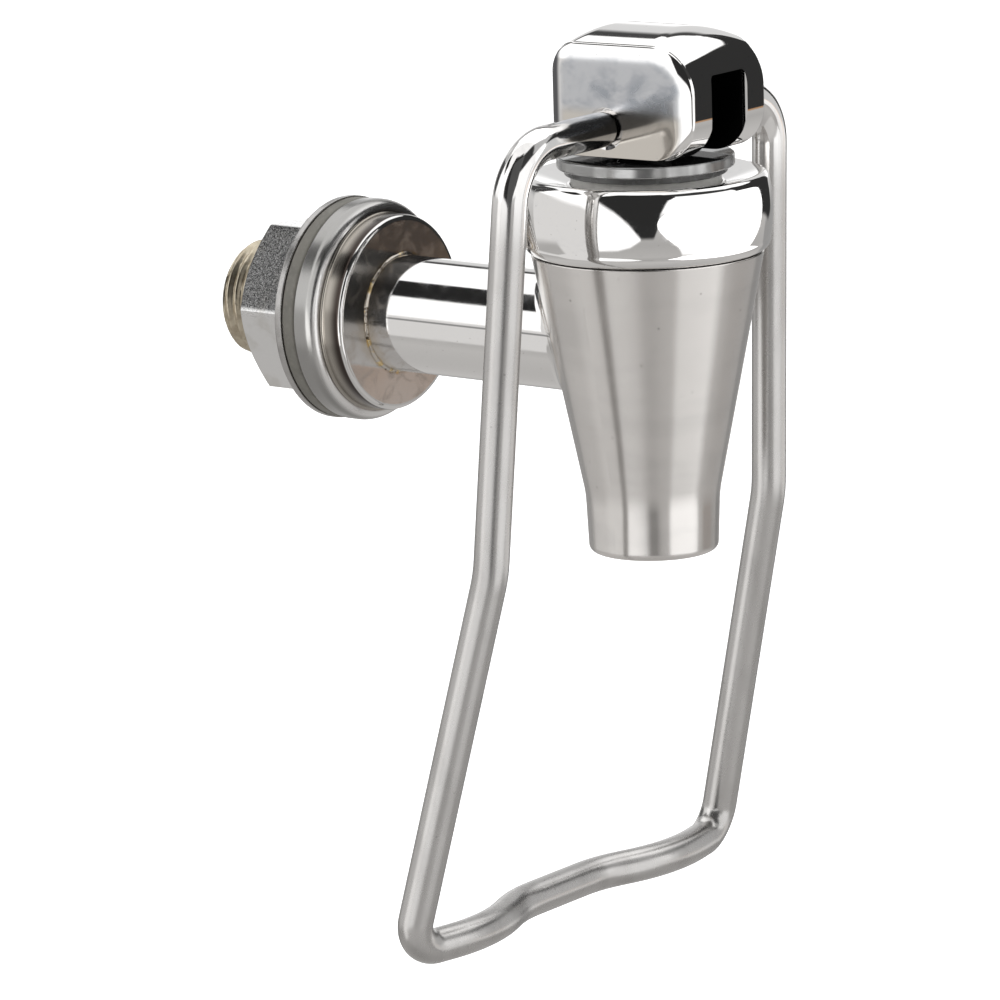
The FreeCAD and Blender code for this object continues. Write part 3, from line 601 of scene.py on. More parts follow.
def nut_steel():
    """Nut: bar stock with a fine grain on its upper flats, which are also painted darker: painted shade."""
    s = Surface("nut_steel", (0.74, 0.735, 0.73), 0.13)
    grain = s.noise(3.2, 4.0, (1.0, 0.7, 1.0), 0.75)
    upper_half = s.smooth(s.z, -0.6, 0.4)
    s.bump(s.times(grain, upper_half), 0.0075)
    s.bump(s.noise(0.4, 3.0), 0.004)
    s.roughen(s.smooth(grain, 0.45, 0.65), 0.22)
    # Painted shade: the upper flats darker, in grain-shaped patches over the real grain
    s.tint(s.times(upper_half, s.smooth(grain, 0.5, 0.66)), (0.52, 0.515, 0.51))
    pits = s.times(upper_half, s.patches(0.5, 0.6, 4.5, 3.0, lumps=0.7))
    s.set("Metallic", s.minus(1.0, s.times(pits, 0.3)))
    s.tint(s.patches(0.5, 0.7, 0.25, 4.0), (0.66, 0.65, 0.63))
    return s


def wire_steel():
    """Loop: satin drawn wire, painted light by height: darker on the legs, lighter and smoother near the head."""
    s = Surface("wire_steel", (0.47, 0.46, 0.45), 0.27)
    s.bump(s.noise(1.0, 3.0, (4.0, 4.0, 0.12), 0.7), 0.0016)
    s.bump(s.noise(0.22, 2.0), 0.012)
    s.roughen(s.patches(0.45, 0.72, 0.35, 5.0, (1.0, 1.0, 0.6), 0.6, 0.6), 0.30)
    # Painted light: the top near the head lighter than the legs
    bright = s.smooth(s.z, 15.0, 27.0)
    s.roughen(bright, 0.09)
    s.tint(bright, (0.74, 0.73, 0.72))
    s.tint(s.times(s.patches(0.45, 0.7, 0.3, 4.0, (1.0, 1.0, 0.3)), 0.3), (0.32, 0.31, 0.30))
    s.tint(s.specks(0.5, 0.1), (0.30, 0.29, 0.28))
    return s


def darker(colour, share):
    return tuple(share * part for part in colour)


def bare_steel(name, colour, roughness):
    """Small inner parts: plain ground or drawn steel."""
    s = Surface(name, colour, roughness)
    s.bump(s.noise(3.0, 3.0, (1.0, 1.0, 0.2), 0.7), 0.0015)
    s.roughen(s.patches(0.42, 0.68, 0.9, 4.0), roughness + 0.12)
    s.tint(s.patches(0.42, 0.7, 0.7, 4.0), darker(colour, 0.8))
    return s


def moulded(name, colour, roughness, grain=3.0, depth=0.004):
    """Plastic or rubber with a fine mould texture and slight shade changes."""
    s = Surface(name, colour, roughness, 0.0)
    s.bump(s.noise(grain, 4.0, lumps=0.65), depth)
    s.bump(s.noise(0.4, 2.0), 3.0 * depth)
    s.roughen(s.patches(0.4, 0.7, 0.8, 4.0), min(roughness + 0.14, 0.9))
    s.tint(s.patches(0.42, 0.7, 0.5, 5.0), darker(colour, 0.84))
    return s


def grey_rubber():
    """Seal: a little dusty."""
    s = moulded("grey_rubber", (0.17, 0.163, 0.143), 0.55)
    s.tint(s.times(s.patches(0.5, 0.7, 1.5, 5.0), 0.5), (0.22, 0.21, 0.185))
    return s


def cam_plastic():
    """Cam ring: grey, streaked, its top painted black and glossy: a painted dark reflection."""
    s = moulded("cam_plastic", (0.55, 0.55, 0.545), 0.13, 2.0, 0.0012)
    s.tint(s.patches(0.45, 0.6, 0.22, 3.0, (1.0, 1.0, 0.2)), (0.33, 0.33, 0.325))
    painted_dark_top = s.smooth(s.z, CAM_HIGH.z - 0.12, CAM_HIGH.z - 0.04)
    # Painted dark reflection on the top of the ring
    s.tint(painted_dark_top, (0.05, 0.05, 0.05))
    s.roughen(painted_dark_top, 0.05)
    s.set("Metallic", 0.6)
    return s


def cup_silicone():
    s = moulded("cup_silicone", (0.74, 0.73, 0.70), 0.42)
    s.set("Subsurface Weight", 0.4)
    s.set("Subsurface Scale", 0.002)
    return s


def make_materials():
    surfaces = (
        satin_steel(), polished_steel(), head_steel(), tube_steel(),
        flange_steel(), washer_steel(), nut_steel(), wire_steel(),
        bare_steel("spring_steel", (0.68, 0.67, 0.66), 0.25),
        bare_steel("stem_steel", (0.74, 0.73, 0.71), 0.2),
        bare_steel("screw_steel", (0.16, 0.16, 0.165), 0.4),
        grey_rubber(),
        moulded("black_rubber", (0.16, 0.16, 0.157), 0.2, 2.0, 0.002),
        # Stem near black: painted shade, the stem sits deep in the slot
        moulded("stem_plastic", (0.006, 0.006, 0.006), 0.6),
        moulded("guide_plastic", (0.70, 0.69, 0.66), 0.38),
        cam_plastic(),
        cup_silicone(),
    )
    return {surface.name: surface.finish() for surface in surfaces}


def dress_frame(materials):
    """Give each solid of the frame the material of its slot."""
    for entry in frame["record"]["subparts"]:
        piece = frame["nodes"][entry["node"]]
        piece.data.materials.clear()
        piece.data.materials.append(materials[entry["material_slot"]])


# Shapes
def rounded(points, step=6.0, keep=0.05):
    """Closed polyline through (a, b) or (a, b, corner radius).

    Corners become arcs, and an extra point just outside each arc keeps the flats flat when shaded.
    """
    count = len(points)
    line = []
    for i, here in enumerate(points):
        corner = Vector(here[:2])
        radius = here[2] if len(here) > 2 else 0.0
        before = Vector(points[i - 1][:2]) - corner
        after = Vector(points[(i + 1) % count][:2]) - corner
        if radius == 0.0:
            line.append(corner)
            continue
        half = before.angle(after) / 2.0
        run = min(radius / tan(half), 0.98 * before.length, 0.98 * after.length)
        radius = run * tan(half)
        to_before = before.normalized()
        to_after = after.normalized()
        middle = corner + (to_before + to_after).normalized() * (radius / sin(half))
        sweep = pi - 2.0 * half
        steps = max(3, int(degrees(sweep) / step) + 1)
        start = corner + to_before * run - middle
        side = 1.0 if start.x * to_before.y - start.y * to_before.x < 0.0 else -1.0
        if before.length > run + 3.0 * keep:
            line.append(corner + to_before * (run + keep))
        for k in range(steps + 1):
            turn = side * sweep * k / steps
            line.append(middle + Vector((
                start.x * cos(turn) - start.y * sin(turn),
                start.x * sin(turn) + start.y * cos(turn),
            )))
        if after.length > run + 3.0 * keep:
            line.append(corner + to_after * (run + keep))
    return line


def arc(centre, radius, start, sweep, steps):
    """Points of an arc from a start angle, both ends included."""
    angles = [start + sweep * k / steps for k in range(steps + 1)]
    return [(centre[0] + radius * cos(turn), centre[1] + radius * sin(turn)) for turn in angles]


def through(first, middle, last, steps):
    """Points of the arc through three points."""
    a, b, c = Vector(first), Vector(middle), Vector(last)
    squares = (a.length_squared, b.length_squared, c.length_squared)
    d = 2.0 * (a.x * (b.y - c.y) + b.x * (c.y - a.y) + c.x * (a.y - b.y))
    ux = (squares[0] * (b.y - c.y) + squares[1] * (c.y - a.y) + squares[2] * (a.y - b.y)) / d
    uy = (squares[0] * (c.x - b.x) + squares[1] * (a.x - c.x) + squares[2] * (b.x - a.x)) / d
    start = atan2(a.y - uy, a.x - ux)
    sweep = atan2(c.y - uy, c.x - ux) - start
    sweep = (sweep + pi) % (2.0 * pi) - pi
    return arc((ux, uy), (a - Vector((ux, uy))).length, start, sweep, steps)


def turns(segments=ROUND_SEGMENTS):
    return [2.0 * pi * k / segments for k in range(segments)]


def about_spout(radius, along, turn):
    return Vector((radius * cos(turn), SPOUT_Y + radius * sin(turn), along))


def about_shank(radius, along, turn):
    return Vector((radius * cos(turn), along, radius * sin(turn)))


def ring_of(bm, spots):
    """Vertices at spots in millimetres."""
    return [bm.verts.new(spot * MM) for spot in spots]


def skin(bm, rings, capped=False):
    """Faces from ring to ring, then either a cap on both ends or faces back to the first ring."""
    pairs = list(zip(rings, rings[1:]))
    if not capped:
        pairs.append((rings[-1], rings[0]))
    for first, second in pairs:
        count = len(first)
        for k in range(count):
            n = (k + 1) % count
            bm.faces.new((first[k], first[n], second[n], second[k]))
    if capped:
        bm.faces.new(rings[0])
        bm.faces.new(rings[-1][::-1])


def to_object(name, bm, sharp=32.0):
    """Object with smooth shading up to a sharp angle in degrees."""
    bmesh.ops.remove_doubles(bm, verts=bm.verts, dist=0.0000005)
    bmesh.ops.recalc_face_normals(bm, faces=bm.faces)
    mesh = bpy.data.meshes.new(name)
    bm.to_mesh(mesh)
    bm.free()
    mesh.shade_smooth()
    mesh.set_sharp_from_angle(angle=radians(sharp))
    return put(name, mesh)


def sweep_round(bm, sections, place):
    """Closed sections of (radius, height), each at its turn about the spout axis or the shank axis."""
    rings = []
    for turn, section in sections:
        rings.append(ring_of(bm, [place(radius, along, turn) for radius, along in section]))
    skin(bm, rings)
    return bm


def lathe(name, profile, place=about_spout, segments=ROUND_SEGMENTS):
    sections = [(turn, profile) for turn in turns(segments)]
    return to_object(name, sweep_round(bmesh.new(), sections, place))


def dress(piece, material_slot, *nodes, body="faucet"):
    """Material, body and the solids that a new piece stands for."""
    piece.data.materials.clear()
    piece.data.materials.append(materials[material_slot])
    if nodes:
        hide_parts(*nodes)
    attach(piece, body)
    return piece


# Inlet
def make_tube():
    """Tube and shank in one, with its thread and its chamfered end."""
    end = TUBE_HIGH.y
    near = SPOUT_Y + CONE_FOOT_R
    rows = [near]
    in_flange = FLANGE_LOW.y - 0.6
    while rows[-1] < in_flange:
        rows.append(rows[-1] + 3.0)
    rows[-1:] = [in_flange, THREAD_FROM - 0.5]
    fine = THREAD_PITCH / 12.0
    while rows[-1] < end - fine:
        rows.append(rows[-1] + fine)
    rows.append(end)
    rings = []
    bm = bmesh.new()
    for along in rows:
        spots = []
        for k in range(ROUND_SEGMENTS):
            share = k / ROUND_SEGMENTS
            phase = (along / THREAD_PITCH + share) % 1.0
            wave = 1.0 - abs(2.0 * phase - 1.0)
            crest = min(max(1.35 * wave - 0.12, 0.0), 1.0)
            fade = min(max((along - THREAD_FROM) / THREAD_RUN_OUT, 0.0), 1.0)
            radius = SHANK_R - fade * THREAD_DEPTH * (1.0 - crest)
            radius = min(radius, SHANK_R - 0.9 + (end - along))
            spots.append(about_shank(radius, along, 2.0 * pi * share))
        rings.append(ring_of(bm, spots))
    for radius, along in ((SHANK_BORE_R + 0.4, end), (SHANK_BORE_R, end - 0.4), (SHANK_BORE_R, near)):
        rings.append(ring_of(bm, [about_shank(radius, along, turn) for turn in turns()]))
    skin(bm, rings)
    return dress(to_object("tube", bm, 40.0), "tube_steel", "inlet_tube")


def make_flange():
    back = FLANGE_HIGH.y
    step = back - RIM_LENGTH
    fit = SHANK_R + 0.02
    profile = rounded([
        (fit, back), (RIM_R - LIP_IN, back),
        (RIM_R - LIP_IN, back - LIP_DEPTH), (RIM_R - LIP_OUT, back - LIP_DEPTH),
        (RIM_R - LIP_OUT, back), (RIM_R, back, 0.3),
        (RIM_R, step, RIM_NOSE_R), (FACE_R, step, 0.35),
        (FACE_R, FACE_Y + FACE_CROWN, 0.8), (fit, FACE_Y),
    ])
    piece = lathe("flange", profile, about_shank, FINE_SEGMENTS)
    return dress(piece, "flange_steel", "wall_flange")


def make_braze():
    """Ring of braze where the tube goes into the flange."""
    profile = rounded([
        (SHANK_R - 0.3, FACE_Y + 0.3), (SHANK_R + 0.32, FACE_Y + 0.3),
        (SHANK_R + 0.28, FACE_Y - 0.08, 0.08), (SHANK_R + 0.08, FACE_Y - 0.26, 0.1),
        (SHANK_R - 0.3, FACE_Y - 0.26),
    ])

    def uneven(radius, along, turn):
        wave = 0.0
        for height, count, start in ((0.09, 5.0, 0.6), (0.06, 13.0, 2.0), (0.04, 29.0, 0.0)):
            wave += height * sin(count * turn + start)
        if radius > SHANK_R + 0.2:
            return radius + 0.8 * wave, along
        return radius, along - (0.5 * wave if along < FACE_Y else 0.0)

    sections = [(turn, [uneven(*spot, turn) for spot in profile]) for turn in turns()]
    return dress(to_object("braze_ring", sweep_round(bmesh.new(), sections, about_shank)), "flange_steel")


def make_seal():
    """Seal, its lip in the groove of the flange."""
    front = SEAL_LOW.y + 0.48
    inner = SHANK_R + 0.15
    edge = RIM_R - 0.05
    profile = rounded([
        (inner, 0.0), (edge, 0.0, 0.45),
        (edge, front, 0.45), (edge - LIP_IN, front),
        (edge - LIP_IN, SEAL_LOW.y), (inner, SEAL_LOW.y),
    ])
    return dress(lathe("seal", profile, about_shank), "grey_rubber", "wall_seal")


def make_washer():
    edge = WASHER_HIGH.x
    thick = WASHER_HIGH.y
    inner = SHANK_R + 0.3
    profile = rounded([(inner, 0.0, 0.1), (edge, 0.0, 0.12), (edge, thick, 0.45), (inner, thick, 0.15)])
    return dress(lathe("washer", profile, about_shank), "washer_steel", "clamp_washer")


def make_nut():
    """Hex nut with both ends turned down at 30 degrees and slightly rounded corners."""
    corner_half = radians(30.0)
    slope = tan(corner_half)
    straight = (NUT_FLAT_R - NUT_BLUNT_R) * slope
    corner_at = (NUT_FLAT_R - NUT_BLUNT_R) / cos(corner_half)
    end_r = NUT_FLAT_R - 0.35
    inner = SHANK_R + 0.05
    bevel = 0.8
    turned = radians(NUT_TURN)

    def reach(turn):
        """Distance from the axis to the side of the blunted hexagon."""
        off = abs((turn + turned) % (2.0 * corner_half) - corner_half)
        if tan(off) * NUT_FLAT_R <= straight:
            return NUT_FLAT_R / cos(off)
        away = corner_half - off
        rest = NUT_BLUNT_R ** 2 - (corner_at * sin(away)) ** 2
        return corner_at * cos(away) + sqrt(max(rest, 0.0))

    sections = []
    for k in range(6 * 24):
        share = k % 24 / 24.0
        eased = share - 0.35 * sin(2.0 * pi * share) / (2.0 * pi)
        turn = (k // 24 + eased) * 2.0 * corner_half - turned
        side = reach(turn)
        fall = max(side - end_r, 0.02) * slope
        half = [
            (inner, bevel), (inner + bevel, 0.0), (end_r, 0.0),
            (side - 0.03, fall - 0.02), (side, fall + 0.03), (side, fall + 0.2),
        ]
        section = [(radius, NUT_LOW.y + along) for radius, along in half]
        section += [(radius, NUT_HIGH.y - along) for radius, along in reversed(half)]
        sections.append((turn, section))
    bm = sweep_round(bmesh.new(), sections, about_shank)
    return dress(to_object("nut", bm, 24.0), "nut_steel", "hex_nut")


# Spout and bonnet
def make_spout():
    """Cone with its outlet, its seat and its neck inside the collar."""
    foot_z = CONE_TOP_Z - CONE_LENGTH
    outlet_r = CONE_FOOT_R - OUTLET_TAPER
    bore_r = outlet_r - OUTLET_WALL
    seat_z = CONE_TOP_Z - SEAT_DEPTH
    neck_bore_r = NECK_R - NECK_WALL
    profile = rounded([
        (bore_r, SPOUT_LOW.z, 0.35), (outlet_r, SPOUT_LOW.z, 1.05),
        (CONE_FOOT_R, foot_z, 16.0), (CONE_TOP_R, CONE_TOP_Z, 0.12),
        (NECK_R, CONE_TOP_Z, 0.3), (NECK_R, SPOUT_HIGH.z, 0.5),
        (neck_bore_r, SPOUT_HIGH.z, 0.2), (neck_bore_r, CONE_TOP_Z - 2.2, 4.0),
        (SEAT_BORE_R + 3.6, seat_z + 3.6, 2.0), (SEAT_BORE_R + 2.2, seat_z, 0.8),
        (SEAT_BORE_R, seat_z - 1.3, 0.6), (SEAT_BORE_R, seat_z - 5.0, 3.0),
        (bore_r, foot_z + 0.6, 6.0),
    ], step=2.0)
    sections = [(turn, profile) for turn in turns(FINE_SEGMENTS)]
    bm = sweep_round(bmesh.new(), sections, about_spout)
    low = Vector((0.0, -FIN_HALF, seat_z - 11.0))
    high = Vector((SEAT_BORE_R + 0.9, FIN_HALF, seat_z - 4.2))
    for third in range(3):
        turn = Matrix.Rotation(radians(90 + 120 * third), 4, "Z")
        for vert in bmesh.ops.create_cube(bm, size=1.0)["verts"]:
            spot = Vector([low[a] + (vert.co[a] + 0.5) * (high[a] - low[a]) for a in range(3)])
            vert.co = (turn @ spot + Vector((0.0, SPOUT_Y, 0.0))) * MM
    return dress(to_object("spout", bm), "satin_steel", "spout_body")


def make_tube_blend():
    """Polished fillet where the tube meets the cone."""
    widening = (CONE_TOP_R - CONE_FOOT_R) / CONE_LENGTH
    steps = 14

    def on_cone(turn, away):
        x, z = away * cos(turn), away * sin(turn)
        radius = CONE_TOP_R - widening * (CONE_TOP_Z - z)
        return SPOUT_Y + sqrt(radius ** 2 - x ** 2)

    sections = []
    for turn in turns():
        outer = SHANK_R + TUBE_BLEND + TUBE_BLEND_RISE * max(sin(turn), 0.0)
        corner = Vector((SHANK_R, on_cone(turn, SHANK_R)))
        start = corner + Vector((-0.01, outer - SHANK_R))
        end = Vector((outer, on_cone(turn, outer) - 0.01))
        section = []
        for i in range(steps + 1):
            t = i / steps
            section.append(start * (1.0 - t) ** 2 + corner * 2.0 * t * (1.0 - t) + end * t ** 2)
        section.append(corner - Vector((0.5, 0.5)))
        sections.append((turn, section))
    bm = sweep_round(bmesh.new(), sections, about_shank)
    return dress(to_object("tube_blend", bm, 40.0), "tube_steel")


def make_collar():
    """Barrel with a rounded foot and a rounded crown."""
    low = COLLAR_LOW.z
    top = COLLAR_HIGH.z
    r = COLLAR_R
    lip_r = DUST_HIGH.x - 0.83
    lip_z = top - COLLAR_LIP
    thread_r = NECK_R + 0.05
    wall_foot = (r - 0.35, low + 1.6)
    foot = through((r - 1.5, low), (r - 0.72, low + 0.52), wall_foot, 16)
    crown_start = Vector((r - 0.4, top - COLLAR_CROWN_R * (1.0 - sin(COLLAR_LEAN))))
    centre = crown_start - COLLAR_CROWN_R * Vector((cos(COLLAR_LEAN), sin(COLLAR_LEAN)))
    crown = arc(centre, COLLAR_CROWN_R, COLLAR_LEAN, 0.5 * pi - COLLAR_LEAN, 14)[1:]
    profile = foot + through(wall_foot, (r, low + 5.0), crown_start, 28)[1:] + crown
    profile.append((crown[-1][0] - 0.06, top))
    profile += rounded([(lip_r, top, 0.3), (lip_r, lip_z), (thread_r, lip_z), (thread_r, low + 0.8)])
    profile += [(thread_r + 0.7, low), (r - 1.56, low)]
    piece = lathe("collar", profile, segments=FINE_SEGMENTS)
    return dress(piece, "polished_steel", "bonnet_nut")


def make_cam_ring():
    profile = rounded([
        (STEM_BORE_R, CAM_HIGH.z, 0.3), (CAM_HIGH.x, CAM_HIGH.z, 0.3),
        (CAM_HIGH.x, DUST_HIGH.z, 0.25), (CAM_STUB_R, DUST_HIGH.z),
        (CAM_STUB_R, CAM_STUB_Z, 0.3), (STEM_BORE_R, CAM_STUB_Z),
    ])
    return dress(lathe("cam", profile), "cam_plastic", "cam_ring")


def make_dust_seal():
    inner = DUST_HIGH.x - 0.81
    profile = rounded([
        (inner, DUST_LOW.z), (DUST_HIGH.x, DUST_LOW.z, 0.2),
        (DUST_HIGH.x, DUST_HIGH.z, 0.2), (inner, DUST_HIGH.z),
    ])
    return dress(lathe("dust_ring", profile), "black_rubber", "dust_seal")


# Lever
# Lower back, lower front, upper front, upper back: way inward, start in half turns, steps
CORNER_ARCS = ((-1.0, 1.0, 0.0, 10), (1.0, 1.0, 1.5, 18), (1.0, -1.0, 1.0, 30), (-1.0, -1.0, 0.5, 24))
RUN_STEPS = (0.02, 0.2, 0.4, 0.6, 0.8, 0.98)
CROWN_ROWS = 36
TIGHT_STEPS = 7
PILLOW_STEPS = 14
DOME_STEPS = 7
TIGHT_R = 0.5
PILLOW_R = 8.0
PILLOW_TILT = radians(22.0)
DOME_TILT = radians(2.6)
DOME_R = 105.0
UNDERSIDE_EDGE = 0.25
PILLOW_RISE = PILLOW_R * (cos(DOME_TILT) - cos(PILLOW_TILT))
PILLOW_DROP = PILLOW_RISE + DOME_R * (1.0 - cos(DOME_TILT))


def head_corners(x, inset):
    """Corners of the side outline at a distance x from the middle: (y, z, radius), y from the pivot."""
    share = (x / HEAD_HALF) ** 2
    back = HEAD_BACK - HEAD_BACK_CROWN * share - inset
    front = -HEAD_FRONT + HEAD_FRONT_CROWN * share + inset
    top = HEAD_TOP_Z - HEAD_CROWN * share - inset
    bottom = HEAD_LOW.z + min(inset, UNDERSIDE_EDGE)
    radii = (1.6, 5.6, 8.0 - 1.4 * share, 5.4 - 1.6 * share)
    spots = ((back, bottom), (front, bottom), (front, top), (back, top))
    return [(a, b, max(radius - inset, 0.12)) for (a, b), radius in zip(spots, radii)]


@functools.lru_cache(maxsize=None)
def head_line(x, inset=0.0):
    """Side outline of the head with the same number of points at every x."""
    arcs = []
    for (a, b, radius), (in_a, in_b, start, steps) in zip(head_corners(x, inset), CORNER_ARCS):
        centre = (a + radius * in_a, b + radius * in_b)
        arcs.append(arc(centre, radius, pi * start, -0.5 * pi, steps))
    rise = HEAD_NOSE_RISE / (HEAD_FRONT + HEAD_BACK)
    line = []
    for here, after in zip(arcs, arcs[1:] + arcs[:1]):
        (a, b), (to_a, to_b) = here[-1], after[0]
        run = [(a + (to_a - a) * share, b + (to_b - b) * share) for share in RUN_STEPS]
        line += [(a, b + rise * (HEAD_BACK - a)) for a, b in here + run]
    return line


def shoulder(radius, start, end, steps):
    """Insets and rises along a rounding whose surface turns from a start to an end tilt."""
    tilts = [start + (end - start) * k / steps for k in range(1, steps + 1)]
    return [(radius * (sin(start) - sin(tilt)), radius * (cos(tilt) - cos(start))) for tilt in tilts]


def head_shell(bm):
    """Crowned block with softly pillowed sides, closed."""
    edge_x = HEAD_HALF - PILLOW_DROP
    here = head_line(edge_x)
    nearer = head_line(edge_x - 0.05)
    count = len(here)
    columns = []
    for j in range(count):
        way = (Vector(here[(j + 1) % count]) - Vector(here[j - 1])).normalized()
        outward = Vector((-way.y, way.x))
        fall = (Vector(nearer[j]) - Vector(here[j])).dot(outward) / 0.05
        start = 0.5 * pi - atan(max(fall, 0.0))
        columns.append((start, edge_x - TIGHT_R * (cos(PILLOW_TILT) - cos(start))))

    def spot(j, x, outline_x=None, inset=0.0):
        a, b = head_line(x if outline_x is None else outline_x, inset)[j]
        return Vector((x, SPOUT_Y + a, b))

    rows = []
    for i in range(CROWN_ROWS + 1):
        share = sin(0.45 * pi * (2.0 * i / CROWN_ROWS - 1.0)) / sin(0.45 * pi)
        rows.append([spot(j, base_x * share) for j, (start, base_x) in enumerate(columns)])
    pillow = shoulder(PILLOW_R, PILLOW_TILT, DOME_TILT, PILLOW_STEPS)
    dome = shoulder(DOME_R, DOME_TILT, 0.0, DOME_STEPS)
    pillow += [(pillow[-1][0] + inset, pillow[-1][1] + rise) for inset, rise in dome]
    edges = []
    for j, (start, base_x) in enumerate(columns):
        tight = shoulder(TIGHT_R, start, PILLOW_TILT, TIGHT_STEPS)
        edge = [spot(j, base_x + rise, edge_x, inset) for inset, rise in tight]
        edge += [spot(j, edge_x + rise, edge_x, tight[-1][0] + inset) for inset, rise in pillow]
        edges.append(edge)
    edge_rows = list(zip(*edges))
    mirrored = [[Vector((-at.x, at.y, at.z)) for at in row] for row in reversed(edge_rows)]
    skin(bm, [ring_of(bm, row) for row in mirrored + rows + edge_rows], capped=True)


def slot_tool():
    """Cutter for the slot in front and below, with rounded roof corners and a bevelled rim."""
    corner = 0.7
    front = -HEAD_FRONT - 4.0
    rim = -HEAD_FRONT + 0.24
    bm = bmesh.new()
    rings = []
    for y, grow in ((SLOT_DEPTH, 0.0), (rim, 0.0), (front, rim - front)):
        half = SLOT_HALF + grow
        top = PIVOT_Z + SLOT_RISE + grow
        line = [(-half, HEAD_LOW.z - 5.0), (half, HEAD_LOW.z - 5.0)]
        for side, from_turn in ((1.0, 0.0), (-1.0, 0.5 * pi)):
            line += arc((side * (half - corner), top - corner), corner, from_turn, 0.5 * pi, 8)
        rings.append(ring_of(bm, [Vector((x, SPOUT_Y + y, z)) for x, z in line]))
    skin(bm, rings, capped=True)
    return bm


def rod_tool(radius, start, end):
    """Round cutter between two points."""
    bm = bmesh.new()
    turned = (end - start).to_track_quat("Z", "Y").to_matrix()
    circle = [Vector((radius * cos(turn), radius * sin(turn), 0.0)) for turn in turns(96)]
    rings = [ring_of(bm, [spot + turned @ away for away in circle]) for spot in (start, end)]
    skin(bm, rings, capped=True)
    return bm


def carve(piece, tools):
    """Cut the tools out of a piece, and keep its own smooth normals round the cuts."""
    smooth = piece.data.copy()
    outlines = [list(polygon.vertices) for polygon in smooth.polygons]
    tree = BVHTree.FromPolygons([vertex.co for vertex in smooth.vertices], outlines)
    corner_normals = [Vector(n.vector) for n in smooth.corner_normals]
    cutters = [to_object("cutter", tool) for tool in tools]
    for cutter in cutters:
        modifier = piece.modifiers.new("cut", "BOOLEAN")
        modifier.operation = "DIFFERENCE"
        modifier.solver = "EXACT"
        modifier.object = cutter
    ready = piece.evaluated_get(bpy.context.evaluated_depsgraph_get())
    mesh = bpy.data.meshes.new_from_object(ready)
    piece.modifiers.clear()
    old = piece.data
    piece.data = mesh
    bpy.data.meshes.remove(old)
    for cutter in cutters:
        bpy.data.meshes.remove(cutter.data)     # and the cutter with it
    mesh.shade_smooth()
    mesh.set_sharp_from_angle(angle=radians(32.0))
    own = [Vector(n.vector) for n in mesh.corner_normals]
    for polygon in mesh.polygons:
        spot, normal, index, distance = tree.find_nearest(polygon.center)
        if distance > 0.02 * MM or polygon.normal.dot(normal) < 0.9:
            continue
        for corner in polygon.loop_indices:
            at = mesh.vertices[mesh.loops[corner].vertex_index].co
            spot, normal, index, distance = tree.find_nearest(at)
            source = smooth.polygons[index]
            total = Vector((0.0, 0.0, 0.0))
            weights = poly_3d_calc([smooth.vertices[v].co for v in source.vertices], spot)
            for weight, source_corner in zip(weights, source.loop_indices):
                total += corner_normals[source_corner] * weight
            if total.length > 0.5 and total.normalized().dot(polygon.normal) > 0.85:
                own[corner] = total.normalized()
    mesh.normals_split_custom_set(own)
    bpy.data.meshes.remove(smooth)
    return piece


def make_head():
    """Block with its slot and the two holes of the wire, each with a bevelled mouth."""
    bm = bmesh.new()
    head_shell(bm)
    tools = [slot_tool()]
    cheek = HEAD_HALF - SLOT_HALF

    def on_pivot(x):
        return Vector((x, SPOUT_Y, PIVOT_Z))

    for side in (-1.0, 1.0):
        out = on_pivot(side * (HEAD_HALF + 1.0))
        tools.append(rod_tool(WIRE_R + 0.02, on_pivot(side * (SLOT_HALF + 0.28 * cheek)), out))
        tools.append(rod_tool(WIRE_R + 0.45, on_pivot(side * (HEAD_HALF - 0.22 * cheek)), out))
    return dress(carve(to_object("head", bm, 40.0), tools), "head_steel", "lever_head", body="lever")


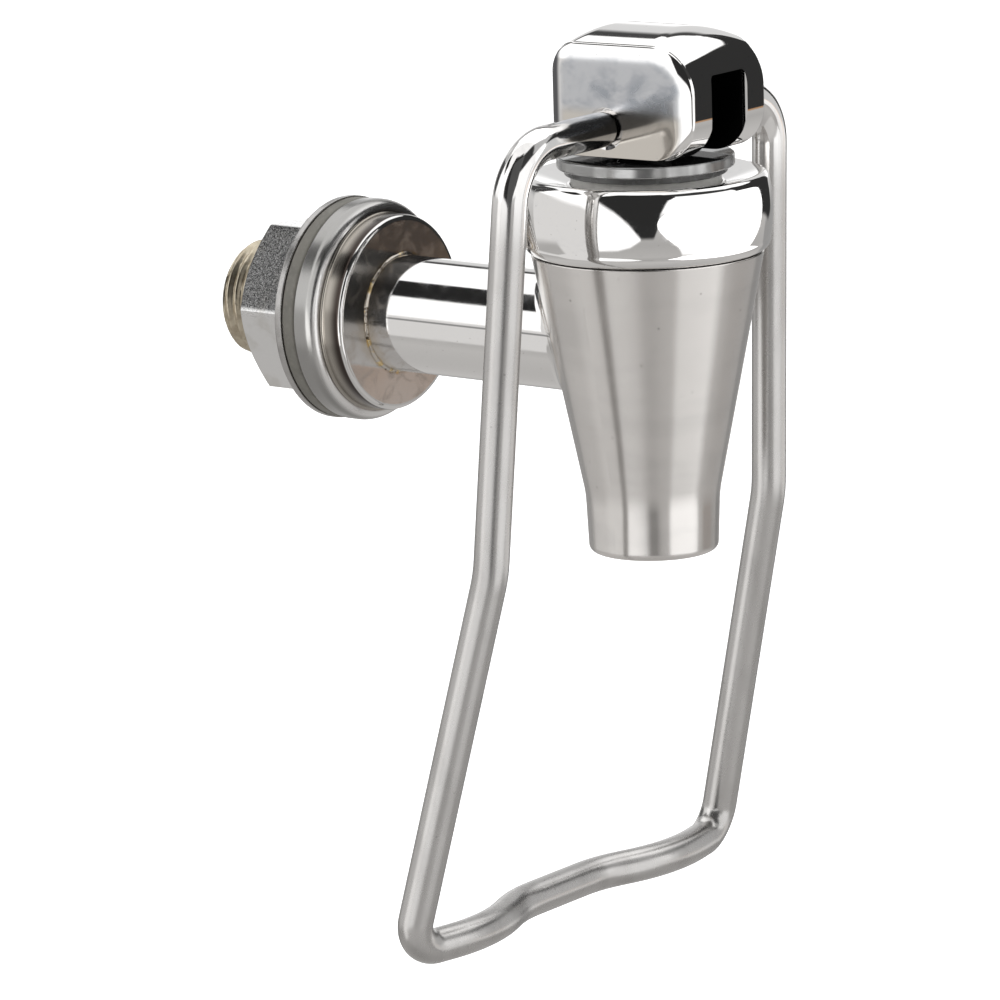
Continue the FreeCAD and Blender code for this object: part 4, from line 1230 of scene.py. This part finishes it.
def loop_path():
    """Centre line of the wire, straight runs joined by arcs."""
    bar_z = PIVOT_Z - LOOP_DROP
    foot_y = SPOUT_Y + LOOP_SET_BACK
    halves = []
    for side in (-1.0, 1.0):
        hang = side * LOOP_HANG
        bulge = side * BAR_BULGE_AT * LOOP_FOOT_HALF
        dip = side * BAR_DIP_AT * LOOP_FOOT_HALF
        halves.append([
            ((side * 5.4, SPOUT_Y, PIVOT_Z), 0.0),
            ((side * LOOP_TOP_HALF, SPOUT_Y + 0.1, PIVOT_Z), 7.6),
            ((side * LOOP_KINK_HALF, SPOUT_Y + LOOP_KINK_SET_BACK, PIVOT_Z - LOOP_KINK_DROP), 20.0),
            ((side * LOOP_FOOT_HALF, foot_y, bar_z + hang), 4.3),
            ((bulge, foot_y - BAR_BULGE, bar_z + hang * BAR_BULGE_AT), 26.0),
            ((dip, foot_y + BAR_DIP, bar_z + hang * BAR_DIP_AT), 20.0),
        ])
    corners = [(Vector(spot), radius) for spot, radius in halves[0] + halves[1][::-1]]
    path = [corners[0][0]]
    for before, (here, radius), after in zip(corners, corners[1:], corners[2:]):
        to_before = (before[0] - here).normalized()
        to_after = (after[0] - here).normalized()
        half_angle = to_before.angle(to_after) / 2.0
        run = radius / tan(half_angle)
        middle = here + (to_before + to_after).normalized() * (radius / sin(half_angle))
        start = here + to_before * run - middle
        axis = to_before.cross(to_after).normalized()
        sweep = pi - 2.0 * half_angle
        steps = max(4, int(degrees(sweep) / 2.5))
        path.append(here + to_before * (run + 0.15))
        for k in range(steps + 1):
            path.append(middle + Matrix.Rotation(-sweep * k / steps, 3, axis) @ start)
        path.append(here + to_after * (run + 0.15))
    path.append(corners[-1][0])
    return path


def make_loop():
    """Bent round wire, its ends inside the head."""
    path = loop_path()
    bm = bmesh.new()
    rings = []
    across = Vector((0.0, 0.0, 1.0))
    for before, spot, after in zip(path[:1] + path, path, path[1:] + path[-1:]):
        way = ((after - spot).normalized() + (spot - before).normalized()).normalized()
        across = (across - way * across.dot(way)).normalized()
        side = way.cross(across)
        circle = [(across * cos(turn) + side * sin(turn)) * WIRE_SKIN_R for turn in turns(72)]
        rings.append(ring_of(bm, [spot + away for away in circle]))
    skin(bm, rings, capped=True)
    return dress(to_object("wire", bm, 40.0), "wire_steel", "wire_loop", body="lever")


scene.view_settings.view_transform = "Standard"
make_camera()
make_world()
make_floor()
make_lamp("key_lamp", (-1.2, -0.6, 1.6), 1.4, 14.0)
make_lamp("fill_lamp", (1.4, -1.2, 0.6), 1.4, 6.0)
materials = make_materials()
dress_frame(materials)
make_tube()
flange = make_flange()
make_braze()
make_seal()
make_washer()
make_nut()
make_spout()
make_tube_blend()
collar = make_collar()
make_cam_ring()
make_dust_seal()
make_head()
wire = make_loop()
make_panel("collar_panel", collar, 15.5, -9.0, 118.0, 38.0, shape="ELLIPSE")
make_panel("wire_side_panel", wire, -120.0, 0.0, 26.0, 90.0, 0.75)
make_panel("wire_front_panel", wire, -52.0, 20.0, 44.0, 80.0, 0.08)
make_panel("wire_right_panel", wire, 57.0, 0.0, 52.0, 46.0, 0.7)
make_panel("wire_low_panel", wire, -45.0, -46.0, 100.0, 50.0, 0.15)
make_panel("wire_top_panel", wire, 100.0, 66.0, 120.0, 40.0, 0.6)
make_panel("flange_panel", flange, -82.0, 10.0, 44.0, 80.0)
